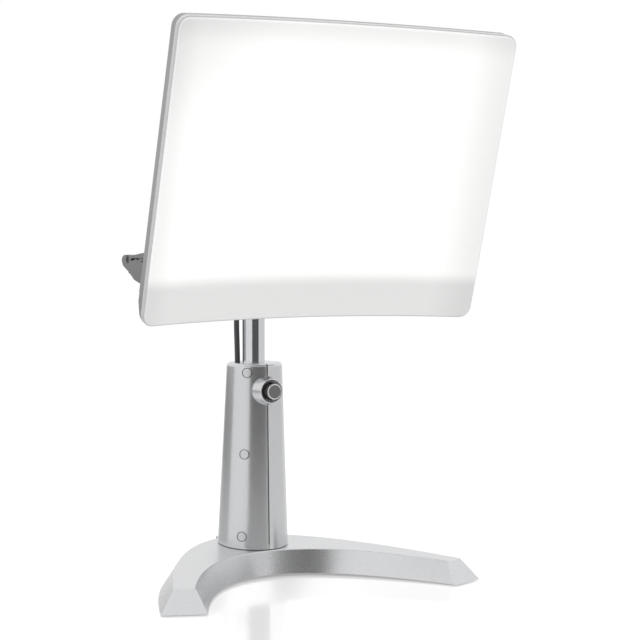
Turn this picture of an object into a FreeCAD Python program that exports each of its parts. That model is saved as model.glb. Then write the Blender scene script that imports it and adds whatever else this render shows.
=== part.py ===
import FreeCAD, Part
import math
import os
import re
import Sketcher

from FreeCAD import Placement, Rotation, Vector

# Light therapy lamp. Millimetres, +Z up, the front is -Y, the mast's axis is X = Y = 0, the floor is Z = 0.

SIZES = {
    # Clearances
    "seat_gap": 0.3,
    "running_gap": 0.06,
    "hinge_gap": 0.5,
    # Base: four rails from the middle of the arch to the end of each leg
    "outer_top_mid_y": 41.0,
    "outer_top_end_x": 181.0,
    "outer_top_end_y": -162.5,
    "outer_top_power": 2.0,
    "outer_top_mid_z": 36.9,
    "inner_top_mid_y": -40.0,
    "inner_top_end_x": 159.5,
    "inner_top_end_y": -169.7,
    "inner_top_power": 2.25,
    "inner_top_mid_z": 30.9,
    "outer_low_mid_y": 66.0,
    "outer_low_end_x": 200.0,
    "outer_low_end_y": -172.0,
    "outer_low_power": 2.17,
    "outer_low_mid_z": 1.2,
    "inner_low_mid_y": -42.0,
    "inner_low_end_x": 155.0,
    "inner_low_end_y": -190.0,
    "inner_low_power": 2.05,
    "inner_low_mid_z": 3.2,
    "leg_end_height": 24.6,
    "rim_height": 1.2,
    "leg_end_round": 6.0,
    "arch_edge_round": 1.3,
    "base_wall": 2.6,
    "plate_height": 3.4,
    "plate_thickness": 2.0,
    "weight_thickness": 11.0,
    "weight_side_gap": 4.5,
    "foot_radius": 7.0,
    "foot_rear_y": 44.0,
    "base_boss_radius": 4.0,
    "base_screw_radius": 1.5,
    "base_screw_head_radius": 3.0,
    "base_screw_head": 1.6,
    # Connector housing behind the column
    "housing_half_width": 26.0,
    "housing_back_y": 50.0,
    "housing_round": 5.0,
    "jack_height": 30.4,
    "jack_radius": 5.2,
    "jack_length": 9.0,
    "jack_bore_radius": 3.1,
    "jack_pin_radius": 1.0,
    # Column: two half shells round the mast
    "column_low_x": 41.5,
    "column_low_y": 40.5,
    "column_low_shift": 3.0,
    "column_high_x": 32.0,
    "column_high_y": 31.0,
    "column_high_shift": -2.0,
    "seam_gap": 0.6,
    "column_top": 244.3,
    "column_start": 20.0,
    "column_wall": 2.6,
    "column_round": 4.0,
    "column_opening_radius": 32.0,
    "column_screw_y": -25.0,
    "column_screw_low": 47.0,
    "column_screw_mid": 141.0,
    "column_screw_high": 234.0,
    "column_boss_radius": 3.2,
    "column_screw_radius": 1.4,
    "column_screw_length": 26.0,
    "plug_radius": 5.2,
    "plug_depth": 1.6,
    "plug_gap": 0.35,
    # Height release on the front of the column
    "button_height": 213.5,
    "button_radius": 8.8,
    "button_face_y": -51.0,
    "button_gap": 1.0,
    "button_chamfer": 1.2,
    "button_stem_radius": 3.0,
    "button_tip_radius": 0.8,
    "boss_face_y": -43.3,
    "boss_face_radius": 14.0,
    "boss_foot_radius": 17.6,
    "boss_funnel": 2.6,
    "boss_foot_y": -30.0,
    "lever_y": -19.5,
    "lever_arm": 13.0,
    "lever_eye": 1.5,
    "lever_thickness": 2.4,
    "lever_width": 6.0,
    "shoe_radius": 4.0,
    "pivot_pin_radius": 1.2,
    # Mast
    "tube_radius": 13.0,
    "tube_wall": 1.5,
    "tube_bottom": 45.0,
    "tube_top": 368.0,
    "socket_wall": 1.6,
    "socket_top": 236.0,
    "flange_radius": 29.0,
    "flange_thickness": 5.0,
    "flange_bolt_circle": 22.5,
    "flange_bolt_radius": 2.0,
    "plug_skirt": 12.0,
    # Yoke between the mast and the two tilt pivots
    "hub_radius": 17.5,
    "hub_height": 26.0,
    "yoke_screw_radius": 2.0,
    "yoke_front_y": -25.0,
    "yoke_thickness": 7.0,
    "yoke_height": 10.0,
    "yoke_z": 356.0,
    "yoke_tab_radius": 4.8,
    "yoke_tab_thickness": 4.5,
    "pivot_y": -100.1,
    "pivot_z": 366.2,
    "pivot_radius": 2.5,
    "pivot_head_radius": 4.0,
    "pivot_head": 1.5,
    "pivot_head_gap": 0.3,
    "washer_thickness": 0.9,
    # Head, in its own frame: the face's middle is the origin, +Y goes to the back
    "head_face_y": -172.0,
    "head_face_z": 456.0,
    "head_tilt": 16.46,
    "head_width": 410.0,
    "head_height": 325.0,
    "head_corner": 13.0,
    "face_radius": 1259.0,
    "diffuser_inset": 1.6,
    "diffuser_thickness": 3.5,
    "diffuser_round": 2.4,
    "bezel_front": 3.8,
    "bezel_back": 9.3,
    "bezel_width": 7.0,
    "head_back": 20.0,
    "back_wall": 2.4,
    "back_round": 3.0,
    "back_taper_height": 22.0,
    "back_taper_start": 6.0,
    "frame_width": 8.0,
    "frame_toe": 17.0,
    "tray_front": 13.0,
    "tray_thickness": 1.5,
    "tray_side_gap": 3.2,
    "tray_rise": 11.0,
    "strip_width": 12.0,
    "strip_thickness": 1.2,
    "strip_end_gap": 18.0,
    "strip_count": 9.0,
    "led_size": 3.0,
    "led_thickness": 0.8,
    "led_count": 10.0,
    # Driver housing on the back of the head
    "driver_width": 150.0,
    "driver_height": 92.0,
    "driver_depth": 21.0,
    "driver_z": -74.0,
    "driver_corner": 9.0,
    "driver_wall": 2.2,
    "board_width": 88.0,
    "board_height": 78.0,
    "board_thickness": 1.6,
    "board_x": -22.0,
    "switch_x": 50.0,
    "switch_width": 21.0,
    "switch_height": 15.0,
    "switch_flange": 1.8,
    "switch_angle": 14.0,
    "gland_radius": 6.5,
    "gland_length": 10.0,
    "gland_flare": 37.0,
    "gland_lip": 1.6,
    # Tilt ears
    "ear_inset": 2.0,
    "ear_thickness": 5.5,
    "ear_flange_width": 20.0,
    "ear_flange": 2.6,
    "ear_flange_low": 24.0,
    "ear_flange_high": 16.0,
    # Lead from the base to the head
    "lead_radius": 3.1,
    "lead_x": -15.3,
    "lead_y": 10.2,
    "lead_low": 92.0,
    "slack_high": 70.0,
    "slack_circle": 24.0,
}

# Sizes that the sheet works out from the others
WORKED_OUT = {
    "ear_outer_x": "=head_width / 2 - ear_inset",
}

doc = FreeCAD.newDocument("light_therapy_lamp")
sheet = doc.addObject("Spreadsheet::Sheet", "Sizes")
for row, (alias, value) in enumerate([*SIZES.items(), *WORKED_OUT.items()], start=1):
    sheet.set("A%d" % row, alias)
    sheet.set("B%d" % row, str(value))
    sheet.setAlias("B%d" % row, alias)
doc.recompute()

NODES = []
X_AXIS = Vector(1, 0, 0)
Y_AXIS = Vector(0, 1, 0)
Z_AXIS = Vector(0, 0, 1)
TURN = {
    "Z": Rotation(),
    "-Z": Rotation(X_AXIS, 180),
    "X": Rotation(Y_AXIS, 90),
    "-X": Rotation(Y_AXIS, -90),
    "Y": Rotation(X_AXIS, -90),
    "-Y": Rotation(X_AXIS, 90),
}


def size(alias):
    """A driving size, read from the sheet."""
    return float(sheet.get(alias))


def bind(thing, prop, formula):
    """Tie a property to a formula of sheet sizes."""
    words = re.sub(r"[A-Za-z_]\w*",
                   lambda m: "Sizes." + m.group(0) if m.group(0) in SIZES or m.group(0) in WORKED_OUT else m.group(0),
                   str(formula))
    thing.setExpression(prop, words)


def put(thing, x=0, y=0, z=0, along="Z"):
    """Place a thing at a formula of sheet sizes, with its own Z axis along the named direction."""
    thing.Placement = Placement(Vector(), TURN[along])
    bind(thing, "Placement.Base.x", x)
    bind(thing, "Placement.Base.y", y)
    bind(thing, "Placement.Base.z", z)
    return thing


def cylinder(name, radius, height, x=0, y=0, z=0, along="Z"):
    rod = doc.addObject("Part::Cylinder", name)
    bind(rod, "Radius", radius)
    bind(rod, "Height", height)
    return put(rod, x, y, z, along)


def cone(name, radius_low, radius_high, height, x=0, y=0, z=0, along="Z"):
    taper = doc.addObject("Part::Cone", name)
    bind(taper, "Radius1", radius_low)
    bind(taper, "Radius2", radius_high)
    bind(taper, "Height", height)
    return put(taper, x, y, z, along)


def box(name, length, width, height, x=0, y=0, z=0):
    """A block whose lowest corner is at x, y, z."""
    block = doc.addObject("Part::Box", name)
    bind(block, "Length", length)
    bind(block, "Width", width)
    bind(block, "Height", height)
    return put(block, x, y, z)


def fuse(name, pieces):
    joined = doc.addObject("Part::MultiFuse", name)
    joined.Shapes = pieces
    joined.Refine = True
    return joined


def cut(name, base, tools):
    whole = doc.addObject("Part::Cut", name)
    whole.Base = base
    whole.Tool = tools[0] if len(tools) == 1 else group(name + "_tools", tools)
    return whole


def common(name, pieces):
    shared = doc.addObject("Part::MultiCommon", name)
    shared.Shapes = pieces
    return shared


def group(name, pieces):
    """Separate solids under one name."""
    several = doc.addObject("Part::Compound", name)
    several.Links = pieces
    return several


def feature(name, shape):
    """A form that neither a sketch nor a primitive gives, made from the sheet's sizes."""
    form = doc.addObject("Part::Feature", name)
    form.Shape = shape
    return form


def node(thing, label):
    """Name a finished sub-part and keep it for the end."""
    thing.Label = label
    NODES.append(thing)
    return thing


def on_head(thing):
    """Lean a piece that is modelled in the head's own frame."""
    thing.Placement = Placement(Vector(), Rotation(X_AXIS, size("head_tilt")))
    bind(thing, "Placement.Base.y", "head_face_y")
    bind(thing, "Placement.Base.z", "head_face_z")
    bind(thing, "Placement.Rotation.Angle", "head_tilt")
    return thing


def rounded_block(name, width, height, depth, corner, x=0, y=0, z=0):
    """A sketched block with rounded corners, centred on x and z, that grows along +Y from y."""
    body = doc.addObject("PartDesign::Body", name)
    sketch = body.newObject("Sketcher::SketchObject", name + "_outline")
    plane = [item for item in body.Origin.OriginFeatures if item.Role == "XZ_Plane"][0]
    sketch.AttachmentSupport = [(plane, "")]
    sketch.MapMode = "FlatFace"
    corners = [Vector(-9, -9, 0), Vector(9, -9, 0), Vector(9, 9, 0), Vector(-9, 9, 0)]
    for index in range(4):
        sketch.addGeometry(Part.LineSegment(corners[index], corners[(index + 1) % 4]), False)
    for index in range(4):
        sketch.addConstraint(Sketcher.Constraint("Coincident", index, 2, (index + 1) % 4, 1))
    for index in range(4):
        sketch.addConstraint(Sketcher.Constraint("Vertical" if index % 2 else "Horizontal", index))
    sketch.addConstraint(Sketcher.Constraint("Symmetric", 0, 1, 1, 2, -1, 1))
    wide = sketch.addConstraint(Sketcher.Constraint("DistanceX", 0, 1, 0, 2, 18))
    tall = sketch.addConstraint(Sketcher.Constraint("DistanceY", 1, 1, 1, 2, 18))
    bind(sketch, "Constraints[%d]" % wide, width)
    bind(sketch, "Constraints[%d]" % tall, height)
    pad = body.newObject("PartDesign::Pad", name + "_pad")
    pad.Profile = sketch
    pad.Reversed = True
    bind(pad, "Length", depth)
    doc.recompute()
    round_off = body.newObject("PartDesign::Fillet", name + "_round")
    along_y = ["Edge%d" % number for number, edge in enumerate(pad.Shape.Edges, start=1)
               if abs(edge.tangentAt(edge.FirstParameter).y) > 0.99]
    round_off.Base = (pad, along_y)
    bind(round_off, "Radius", corner)
    return put(body, x, y, z)


def curved_layer(name, front, back):
    """A curved sheet of the head between two depths behind the face, higher than the head."""
    outer = cylinder(name + "_outer", "face_radius + " + back, "head_height + 20", 0, "-face_radius",
                     "-head_height / 2 - 10")
    inner = cylinder(name + "_inner", "face_radius + " + front, "head_height + 40", 0, "-face_radius",
                     "-head_height / 2 - 20")
    return cut(name, outer, [inner])


def rounded_rim(name, sheet_form, radius, rounding):
    """Round the edges of a curved form that lie on the cylinder of the given radius."""
    doc.recompute()
    rim = []
    for number, edge in enumerate(sheet_form.Shape.Edges, start=1):
        steps = [edge.FirstParameter + (edge.LastParameter - edge.FirstParameter) * step / 6 for step in range(7)]
        spots = [edge.valueAt(step) for step in steps]
        if all(abs(math.hypot(spot.x, spot.y + size("face_radius")) - radius) < 0.02 for spot in spots):
            rim.append((number, size(rounding), size(rounding)))
    rounded = doc.addObject("Part::Fillet", name)
    rounded.Base = sheet_form
    rounded.Edges = rim
    return rounded


def revolved(name, outline, x=0, y=0, z=0, along="Z"):
    """A turned piece: outline lists (radius, height) formulas from the axis round to the axis."""
    body = doc.addObject("PartDesign::Body", name)
    sketch = body.newObject("Sketcher::SketchObject", name + "_half")
    plane = [item for item in body.Origin.OriginFeatures if item.Role == "XZ_Plane"][0]
    sketch.AttachmentSupport = [(plane, "")]
    sketch.MapMode = "FlatFace"
    count = len(outline)
    spots = [Vector(2 + index % 3, 3 * index, 0) for index in range(count)]
    for index in range(count):
        sketch.addGeometry(Part.LineSegment(spots[index], spots[(index + 1) % count]), False)
    for index in range(count):
        sketch.addConstraint(Sketcher.Constraint("Coincident", index, 2, (index + 1) % count, 1))
    for index, (radius, height) in enumerate(outline):
        for kind, formula in (("DistanceX", radius), ("DistanceY", height)):
            if str(formula) == "0":
                on_axis = -2 if kind == "DistanceX" else -1
                sketch.addConstraint(Sketcher.Constraint("PointOnObject", index, 1, on_axis))
            else:
                number = sketch.addConstraint(Sketcher.Constraint(kind, -1, 1, index, 1, 5.0))
                bind(sketch, "Constraints[%d]" % number, formula)
    turn = body.newObject("PartDesign::Revolution", name + "_turn")
    turn.Profile = sketch
    turn.ReferenceAxis = (sketch, ["V_Axis"])
    turn.Angle = 360
    return put(body, x, y, z, along)


def tangent_path(points):
    """Straight runs joined by tangent arcs, each as large as its two runs allow."""
    edges = []
    radii = []
    start = points[0]
    for before, corner, after in zip(points, points[1:], points[2:]):
        first = (corner - before).normalize()
        second = (after - corner).normalize()
        turn = first.getAngle(second)
        run = min((corner - before).Length, (after - corner).Length)
        radius = 0.45 * run / math.tan(turn / 2)
        back_off = 0.45 * run
        arc_start = corner - first * back_off
        arc_end = corner + second * back_off
        inward = (second - first).normalize()
        middle = corner + inward * (radius / math.cos(turn / 2) - radius)
        edges.append(Part.LineSegment(start, arc_start).toShape())
        edges.append(Part.Arc(arc_start, middle, arc_end).toShape())
        radii.append(radius)
        start = arc_end
    edges.append(Part.LineSegment(start, points[-1]).toShape())
    return Part.Wire(edges), radii


def cord(name, points, radius, ball_end=False):
    """A round cord along the path, with its tightest bend printed; it can end in half a ball."""
    path, radii = tangent_path(points)
    first = (points[1] - points[0]).normalize()
    ring = Part.Wire(Part.Circle(points[0], first, radius).toShape())
    tube = path.makePipeShell([ring], True, False)
    expected = math.pi * radius ** 2 * path.Length
    print("%s: tightest bend %.1f, length %.1f, volume share %.4f"
          % (name, min(radii), path.Length, tube.Volume / expected))
    if ball_end:
        tube = tube.fuse(Part.makeSphere(radius, points[-1])).removeSplitter()
    return feature(name, tube)


# Base arch

def rail_point(rail, share, end_z):
    """A point of a rail; share runs from -1 at the left leg's end to 1 at the right leg's end."""
    reach = abs(share)
    y = size(rail + "_mid_y") - (size(rail + "_mid_y") - size(rail + "_end_y")) * reach ** size(rail + "_power")
    z = size(rail + "_mid_z") - (size(rail + "_mid_z") - end_z) * reach ** 2
    return Vector(share * size(rail + "_end_x"), y, z)


def arch_section(share, inset, drop, lift):
    """The four corners of the arch at one place, each wall moved in by inset, the top down by drop."""
    inner_low = rail_point("inner_low", share, size("rim_height"))
    inner_top = rail_point("inner_top", share, size("leg_end_height"))
    outer_top = rail_point("outer_top", share, size("leg_end_height"))
    outer_low = rail_point("outer_low", share, size("rim_height"))
    across = outer_low - inner_low
    across.z = 0
    across.normalize()
    return [inner_low + across * inset + Z_AXIS * lift,
            inner_top + across * inset - Z_AXIS * drop,
            outer_top - across * inset - Z_AXIS * drop,
            outer_low - across * inset + Z_AXIS * lift]


def arch_solid(inset=0.0, drop=0.0, lift=0.0, end_gap=0.0):
    """The arch as a closed solid; with an inset it is the room inside the cover."""
    reach = 1.0 - end_gap / size("outer_low_end_x")
    stations = [reach * (step / 6.0 - 1.0) for step in range(13)]
    sections = [arch_section(share, inset, drop, lift) for share in stations]
    rails = []
    for corner in range(4):
        curve = Part.BSplineCurve()
        curve.interpolate([section[corner] for section in sections])
        rails.append(curve.toShape())
    faces = [Part.makeRuledSurface(rails[corner], rails[(corner + 1) % 4]) for corner in range(4)]
    for section in (sections[0], sections[-1]):
        low = Part.LineSegment(section[0], section[3]).toShape()
        high = Part.LineSegment(section[1], section[2]).toShape()
        faces.append(Part.makeRuledSurface(low, high))
    shell = Part.makeShell(faces)
    shell.sewShape()
    solid = Part.makeSolid(shell)
    if solid.Volume < 0:
        solid.reverse()
    return solid


def leg_end_edges(solid):
    """The upright edges at the legs' ends."""
    picked = []
    for edge in solid.Edges:
        ends = [vertex.Point for vertex in edge.Vertexes]
        if len(ends) == 2 and abs(ends[0].z - ends[1].z) > size("leg_end_height") / 2 and edge.Length < 60:
            picked.append(edge)
    return picked


def leg_spot(share, height):
    """A place on the middle line of the arch."""
    corners = arch_section(share, 0, 0, 0)
    middle = (corners[0] + corners[3]) * 0.5
    return Vector(middle.x, middle.y, height)


FOOT_SHARES = [-0.93, -0.55, 0.55, 0.93]
SCREW_SHARES = [-0.82, -0.42, 0.42, 0.82]
PLATE_TOP = size("plate_height") + size("plate_thickness")
WEIGHT_TOP = PLATE_TOP + size("weight_thickness")
ROOM_DROP = size("base_wall")


def base_room(inset, end_gap):
    return arch_solid(inset, ROOM_DROP, -size("rim_height") - 1.0, end_gap)


arch = arch_solid()
arch = arch.makeFillet(size("leg_end_round"), leg_end_edges(arch))
top_edges = [edge for edge in arch.Edges
             if min(vertex.Point.z for vertex in edge.Vertexes) > size("leg_end_height") - 1]
arch = arch.makeFillet(size("arch_edge_round"), top_edges)
room = base_room(size("base_wall") * 1.25, size("base_wall") * 2.2)
column_hole = Part.makeCylinder(size("column_opening_radius"), 60.0)

housing_depth = size("housing_back_y") - 30.0
housing_block = Part.makeBox(2 * size("housing_half_width"), housing_depth, size("outer_top_mid_z") - 20.0,
                             Vector(-size("housing_half_width"), 30.0, 20.0))
rear_corners = [edge for edge in housing_block.Edges
                if edge.BoundBox.ZLength > 5 and edge.BoundBox.YMax > size("housing_back_y") - 1]
housing_block = housing_block.makeFillet(size("housing_round"), rear_corners)
housing_room = Part.makeBox(2 * (size("housing_half_width") - size("base_wall")), housing_depth - size("base_wall"),
                            size("outer_top_mid_z") - 20.0 - size("base_wall"),
                            Vector(size("base_wall") - size("housing_half_width"), 30.0, 20.0))
jack_hole = Part.makeCylinder(size("jack_radius") + size("seat_gap"), 20.0,
                              Vector(0, size("housing_back_y") - 10.0, size("jack_height")), Y_AXIS)
bosses = []
boss_bores = []
for share in SCREW_SHARES:
    spot = leg_spot(share, PLATE_TOP + size("seat_gap"))
    bosses.append(Part.makeCylinder(size("base_boss_radius"), 40.0, spot))
    boss_bores.append(Part.makeCylinder(size("base_screw_radius") + size("running_gap"), 14.0, spot))
boss_set = Part.makeCompound(bosses).common(arch)
cover = arch.fuse(housing_block).cut(room).cut(housing_room).cut(column_hole).cut(jack_hole)
cover = cover.fuse(boss_set).cut(Part.makeCompound(boss_bores))
base_cover = node(feature("BaseCover", cover.removeSplitter()), "base_cover")

plate_slab = Part.makeBox(500, 400, size("plate_thickness"), Vector(-250, -250, size("plate_height")))
plate_form = base_room(size("base_wall") * 1.25 + size("seat_gap"), size("base_wall") * 2.2 + 1.0).common(plate_slab)
screw_ways = [Part.makeCylinder(size("base_screw_radius") + size("running_gap"), 30.0, leg_spot(share, 0))
              for share in SCREW_SHARES]
plate_form = plate_form.cut(Part.makeCompound(screw_ways))
base_plate = node(feature("BasePlate", plate_form), "base_plate")

weight_slab = Part.makeBox(500, 400, size("weight_thickness"), Vector(-250, -250, PLATE_TOP))
boss_ways = [Part.makeCylinder(size("base_boss_radius") + size("seat_gap"), 40.0, leg_spot(share, 0))
             for share in SCREW_SHARES]
weight_form = base_room(size("base_wall") + size("weight_side_gap"), 14.0).common(weight_slab)
bolt_ways = [Part.makeCylinder(size("flange_bolt_radius") + size("running_gap"), 30.0,
                               Vector(size("flange_bolt_circle") * math.cos(angle),
                                      size("flange_bolt_circle") * math.sin(angle), 0))
             for angle in (math.radians(45 + 90 * step) for step in range(4))]
weight_form = weight_form.cut(Part.makeCompound(boss_ways)).cut(Part.makeCompound(bolt_ways))
base_weight = node(feature("BaseWeight", weight_form), "base_weight")

foot_forms = [Part.makeCylinder(size("foot_radius"), size("plate_height"), leg_spot(share, 0))
              for share in FOOT_SHARES]
for foot_y in (0.0, size("foot_rear_y")):
    foot_forms.append(Part.makeCylinder(size("foot_radius"), size("plate_height"), Vector(0, foot_y, 0)))
rubber_feet = node(feature("RubberFeet", Part.makeCompound(foot_forms)), "rubber_feet")

base_screw_forms = []
for share in SCREW_SHARES:
    spot = leg_spot(share, size("plate_height") - size("base_screw_head"))
    head = Part.makeCylinder(size("base_screw_head_radius"), size("base_screw_head"), spot)
    shank = Part.makeCylinder(size("base_screw_radius"), 14.0, spot)
    base_screw_forms.append(head.fuse(shank).removeSplitter())
base_screws = node(feature("BaseScrews", Part.makeCompound(base_screw_forms)), "base_screws")

# Mast socket: a steel sleeve on a flange, bolted to the weight

SOCKET_BORE = "tube_radius + running_gap"
SOCKET_OUTER = "tube_radius + running_gap + socket_wall"
flange_z = "plate_height + plate_thickness + weight_thickness"
flange = cylinder("FlangeDisc", "flange_radius", "flange_thickness", 0, 0, flange_z)
sleeve = cylinder("Sleeve", SOCKET_OUTER, "socket_top - (%s)" % flange_z, 0, 0, flange_z)
sleeve_bore = cylinder("SleeveBore", SOCKET_BORE, "socket_top", 0, 0, flange_z)
window_low = "button_height - 2 * lever_arm - 5"
latch_window = box("LatchWindow", "lever_width + 3", "tube_radius + socket_wall + 2", "2 * lever_arm + 10",
                   "-(lever_width + 3) / 2", "-tube_radius - socket_wall - 2", window_low)
flange_holes = []
for step in range(4):
    hole = cylinder("FlangeHole%d" % step, "flange_bolt_radius + running_gap", "flange_thickness + 2",
                    "flange_bolt_circle * cos(%d deg)" % (45 + 90 * step),
                    "flange_bolt_circle * sin(%d deg)" % (45 + 90 * step), flange_z + " - 1")
    flange_holes.append(hole)
mast_socket = cut("MastSocket", fuse("SocketBlank", [flange, sleeve]), [sleeve_bore, latch_window] + flange_holes)
node(mast_socket, "mast_socket")

flange_bolt_pieces = []
for step in range(4):
    spot_x = "flange_bolt_circle * cos(%d deg)" % (45 + 90 * step)
    spot_y = "flange_bolt_circle * sin(%d deg)" % (45 + 90 * step)
    shank = cylinder("FlangeShank%d" % step, "flange_bolt_radius", "flange_thickness + weight_thickness - 2",
                     spot_x, spot_y, "plate_height + plate_thickness + 2")
    head = cylinder("FlangeHead%d" % step, "flange_bolt_radius * 1.7", "flange_bolt_radius", spot_x, spot_y,
                    flange_z + " + flange_thickness")
    flange_bolt_pieces.append(fuse("FlangeBolt%d" % step, [shank, head]))
node(group("FlangeBolts", flange_bolt_pieces), "flange_bolts")

# Column: a tapered shell in two halves, with the flared collar of the release button

def column_ring(half_x, half_y, shift, height):
    """An upright column's outline at one height, in two arcs that meet in the column's seam."""
    ellipse = Part.Ellipse(Vector(0, shift, height), half_x, half_y)
    quarter = math.pi / 2
    arcs = [Part.ArcOfEllipse(ellipse, start, start + math.pi).toShape() for start in (quarter, 3 * quarter)]
    return Part.Wire(arcs)


def column_loft(name, inset, top_cut):
    """The column's outer form, or with an inset the room inside it."""
    low = column_ring(size("column_low_x") - inset, size("column_low_y") - inset, size("column_low_shift"),
                      size("column_start"))
    high = column_ring(size("column_high_x") - inset, size("column_high_y") - inset, size("column_high_shift"),
                       size("column_top") - top_cut)
    return feature(name, Part.makeLoft([low, high], True, True))


column_form = column_loft("ColumnForm", 0.0, 0.0)
column_room = column_loft("ColumnRoom", size("column_wall"), size("column_wall"))
doc.recompute()
column_rounded = doc.addObject("Part::Fillet", "ColumnRounded")
column_rounded.Base = column_form
top_edges = [number for number, edge in enumerate(column_form.Shape.Edges, start=1)
             if edge.BoundBox.ZMin > size("column_top") - 1]
column_rounded.Edges = [(number, size("column_round"), size("column_round")) for number in top_edges]
collar = cone("Collar", "boss_foot_radius", "boss_face_radius", "boss_foot_y - boss_face_y", 0, "boss_foot_y",
              "button_height", "-Y")
collar_root = cylinder("CollarRoot", "boss_foot_radius", "8", 0, "boss_foot_y + 8", "button_height", "-Y")
column_blank = fuse("ColumnBlank", [column_rounded, collar, collar_root])

screw_heights = ["column_screw_low", "column_screw_mid", "column_screw_high"]
column_bosses = [cylinder("ColumnBoss%d" % step, "column_boss_radius", "90", "-45", "column_screw_y", height, "X")
                 for step, height in enumerate(screw_heights)]
room_round_bosses = cut("RoomRoundBosses", column_room, [fuse("BossRods", column_bosses)])
room_and_bores = [
    room_round_bosses,
    cylinder("ButtonBore", "button_radius + button_gap", "40", 0, "boss_face_y - 20", "button_height", "Y"),
    cone("Funnel", "boss_face_radius - 0.8", "button_radius + button_gap", "boss_funnel", 0, "boss_face_y",
         "button_height", "Y"),
    cylinder("TubeHole", "tube_radius + running_gap * 4", "40", 0, 0, "column_top - 20"),
    cylinder("LeadHole", "lead_radius + 0.6", "40", "lead_x", "lead_y", "column_top - 20"),
]
column_hollow = column_blank
for number, tool in enumerate(room_and_bores):
    column_hollow = cut("ColumnHollow%d" % number, column_hollow, [tool])

screw_bores = [cylinder("ColumnBore%d" % step, "column_screw_radius + running_gap", "column_screw_length + 3",
                        "-column_screw_length / 2", "column_screw_y", height, "X")
               for step, height in enumerate(screw_heights)]
plug_pockets = []
plug_blanks = []
for step, height in enumerate(screw_heights):
    share = (size(height) - size("column_start")) / (size("column_top") - size("column_start"))
    half_x = size("column_low_x") + share * (size("column_high_x") - size("column_low_x"))
    half_y = size("column_low_y") + share * (size("column_high_y") - size("column_low_y"))
    shift = size("column_low_shift") + share * (size("column_high_shift") - size("column_low_shift"))
    plug_x = -half_x * math.sqrt(1 - ((size("column_screw_y") - shift) / half_y) ** 2)
    inward = Vector(-plug_x / half_x ** 2, (shift - size("column_screw_y")) / half_y ** 2, 0).normalize()
    centre = Vector(plug_x, size("column_screw_y"), size(height))
    outside = centre - inward * 8
    reach = 8 + size("plug_depth")
    plug_pockets.append(Part.makeCylinder(size("plug_radius") + size("plug_gap"), reach + size("seat_gap"),
                                          outside, inward))
    plug_blanks.append(Part.makeCylinder(size("plug_radius"), reach, outside, inward))
pockets = feature("PlugPockets", Part.makeCompound(plug_pockets))
base_seat = feature("BaseSeat", arch_solid().translated(Vector(0, 0, 2 * size("seat_gap"))))
column_whole = column_hollow
for number, tool in enumerate(screw_bores + [pockets, base_seat]):
    column_whole = cut("ColumnWhole%d" % number, column_whole, [tool])
left_side = box("LeftSide", "60 + seam_gap / 2", "140", "column_top + 20", "-60", "-70", "0")
right_side = box("RightSide", "60 + seam_gap / 2", "140", "column_top + 20", "-seam_gap / 2", "-70", "0")
node(cut("ColumnLeft", column_whole, [right_side]), "column_shell_left")
node(cut("ColumnRight", column_whole, [left_side]), "column_shell_right")
plugs = common("ColumnPlugs", [feature("PlugBlanks", Part.makeCompound(plug_blanks)), column_form])
node(plugs, "column_screw_plugs")
column_screw_pieces = [cylinder("ColumnScrew%d" % step, "column_screw_radius", "column_screw_length",
                                "-column_screw_length / 2", "column_screw_y", height, "X")
                       for step, height in enumerate(screw_heights)]
node(group("ColumnScrews", column_screw_pieces), "column_screws")

# Power inlet in the connector housing

jack_sleeve = cylinder("JackSleeve", "jack_radius", "jack_length", 0, "housing_back_y - jack_length",
                       "jack_height", "Y")
jack_lip = cylinder("JackLip", "jack_radius + 0.9", "1", 0, "housing_back_y", "jack_height", "Y")
jack_bore = cylinder("JackBore", "jack_bore_radius", "jack_length", 0, "housing_back_y - jack_length + 3",
                     "jack_height", "Y")
jack_pin = cylinder("JackPin", "jack_pin_radius", "jack_length - 3", 0, "housing_back_y - jack_length + 2.5",
                    "jack_height", "Y")
jack_hollow = cut("JackHollow", fuse("JackBlank", [jack_sleeve, jack_lip]), [jack_bore])
node(fuse("PowerInlet", [jack_hollow, jack_pin]), "power_inlet")

# Height release: a button that turns a lever on its pin, and the lever's shoe that holds the mast

button_back = "boss_foot_y - 1"
stem_end = "lever_y - lever_eye - seat_gap"
release_button = revolved("ReleaseButton", [
    ("0", "0"),
    ("button_radius - button_chamfer", "0"),
    ("button_radius", "button_chamfer"),
    ("button_radius", "%s - button_face_y" % button_back),
    ("button_stem_radius", "%s - button_face_y" % button_back),
    ("button_stem_radius", "%s - button_face_y - 1.6" % stem_end),
    ("button_tip_radius", "%s - button_face_y" % stem_end),
    ("0", "%s - button_face_y" % stem_end),
], 0, "button_face_y", "button_height", "Y")
node(release_button, "release_button")

lever_z = "button_height - lever_arm"
lever_bar = box("LeverBar", "lever_width", "lever_thickness", "2 * lever_arm", "-lever_width / 2",
                "lever_y - lever_thickness / 2", "button_height - 2 * lever_arm")
lever_eyes = [cylinder("LeverEye%d" % step, "lever_eye", "lever_width", "-lever_width / 2", "lever_y",
                       "button_height - %d * lever_arm" % step, "X") for step in (0, 2)]
lever_hub = cylinder("LeverHub", "lever_eye * 1.7", "lever_width", "-lever_width / 2", "lever_y", lever_z, "X")
lever_shoe = cylinder("LeverShoe", "shoe_radius", "-tube_radius - seat_gap / 3 - lever_y", 0, "lever_y",
                      "button_height - 2 * lever_arm", "Y")
lever_bore = cylinder("LeverBore", "pivot_pin_radius + running_gap", "lever_width + 2", "-lever_width / 2 - 1",
                      "lever_y", lever_z, "X")
latch_lever = cut("LatchLever", fuse("LeverBlank", [lever_bar, lever_hub, lever_shoe] + lever_eyes), [lever_bore])
node(latch_lever, "latch_lever")

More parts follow.
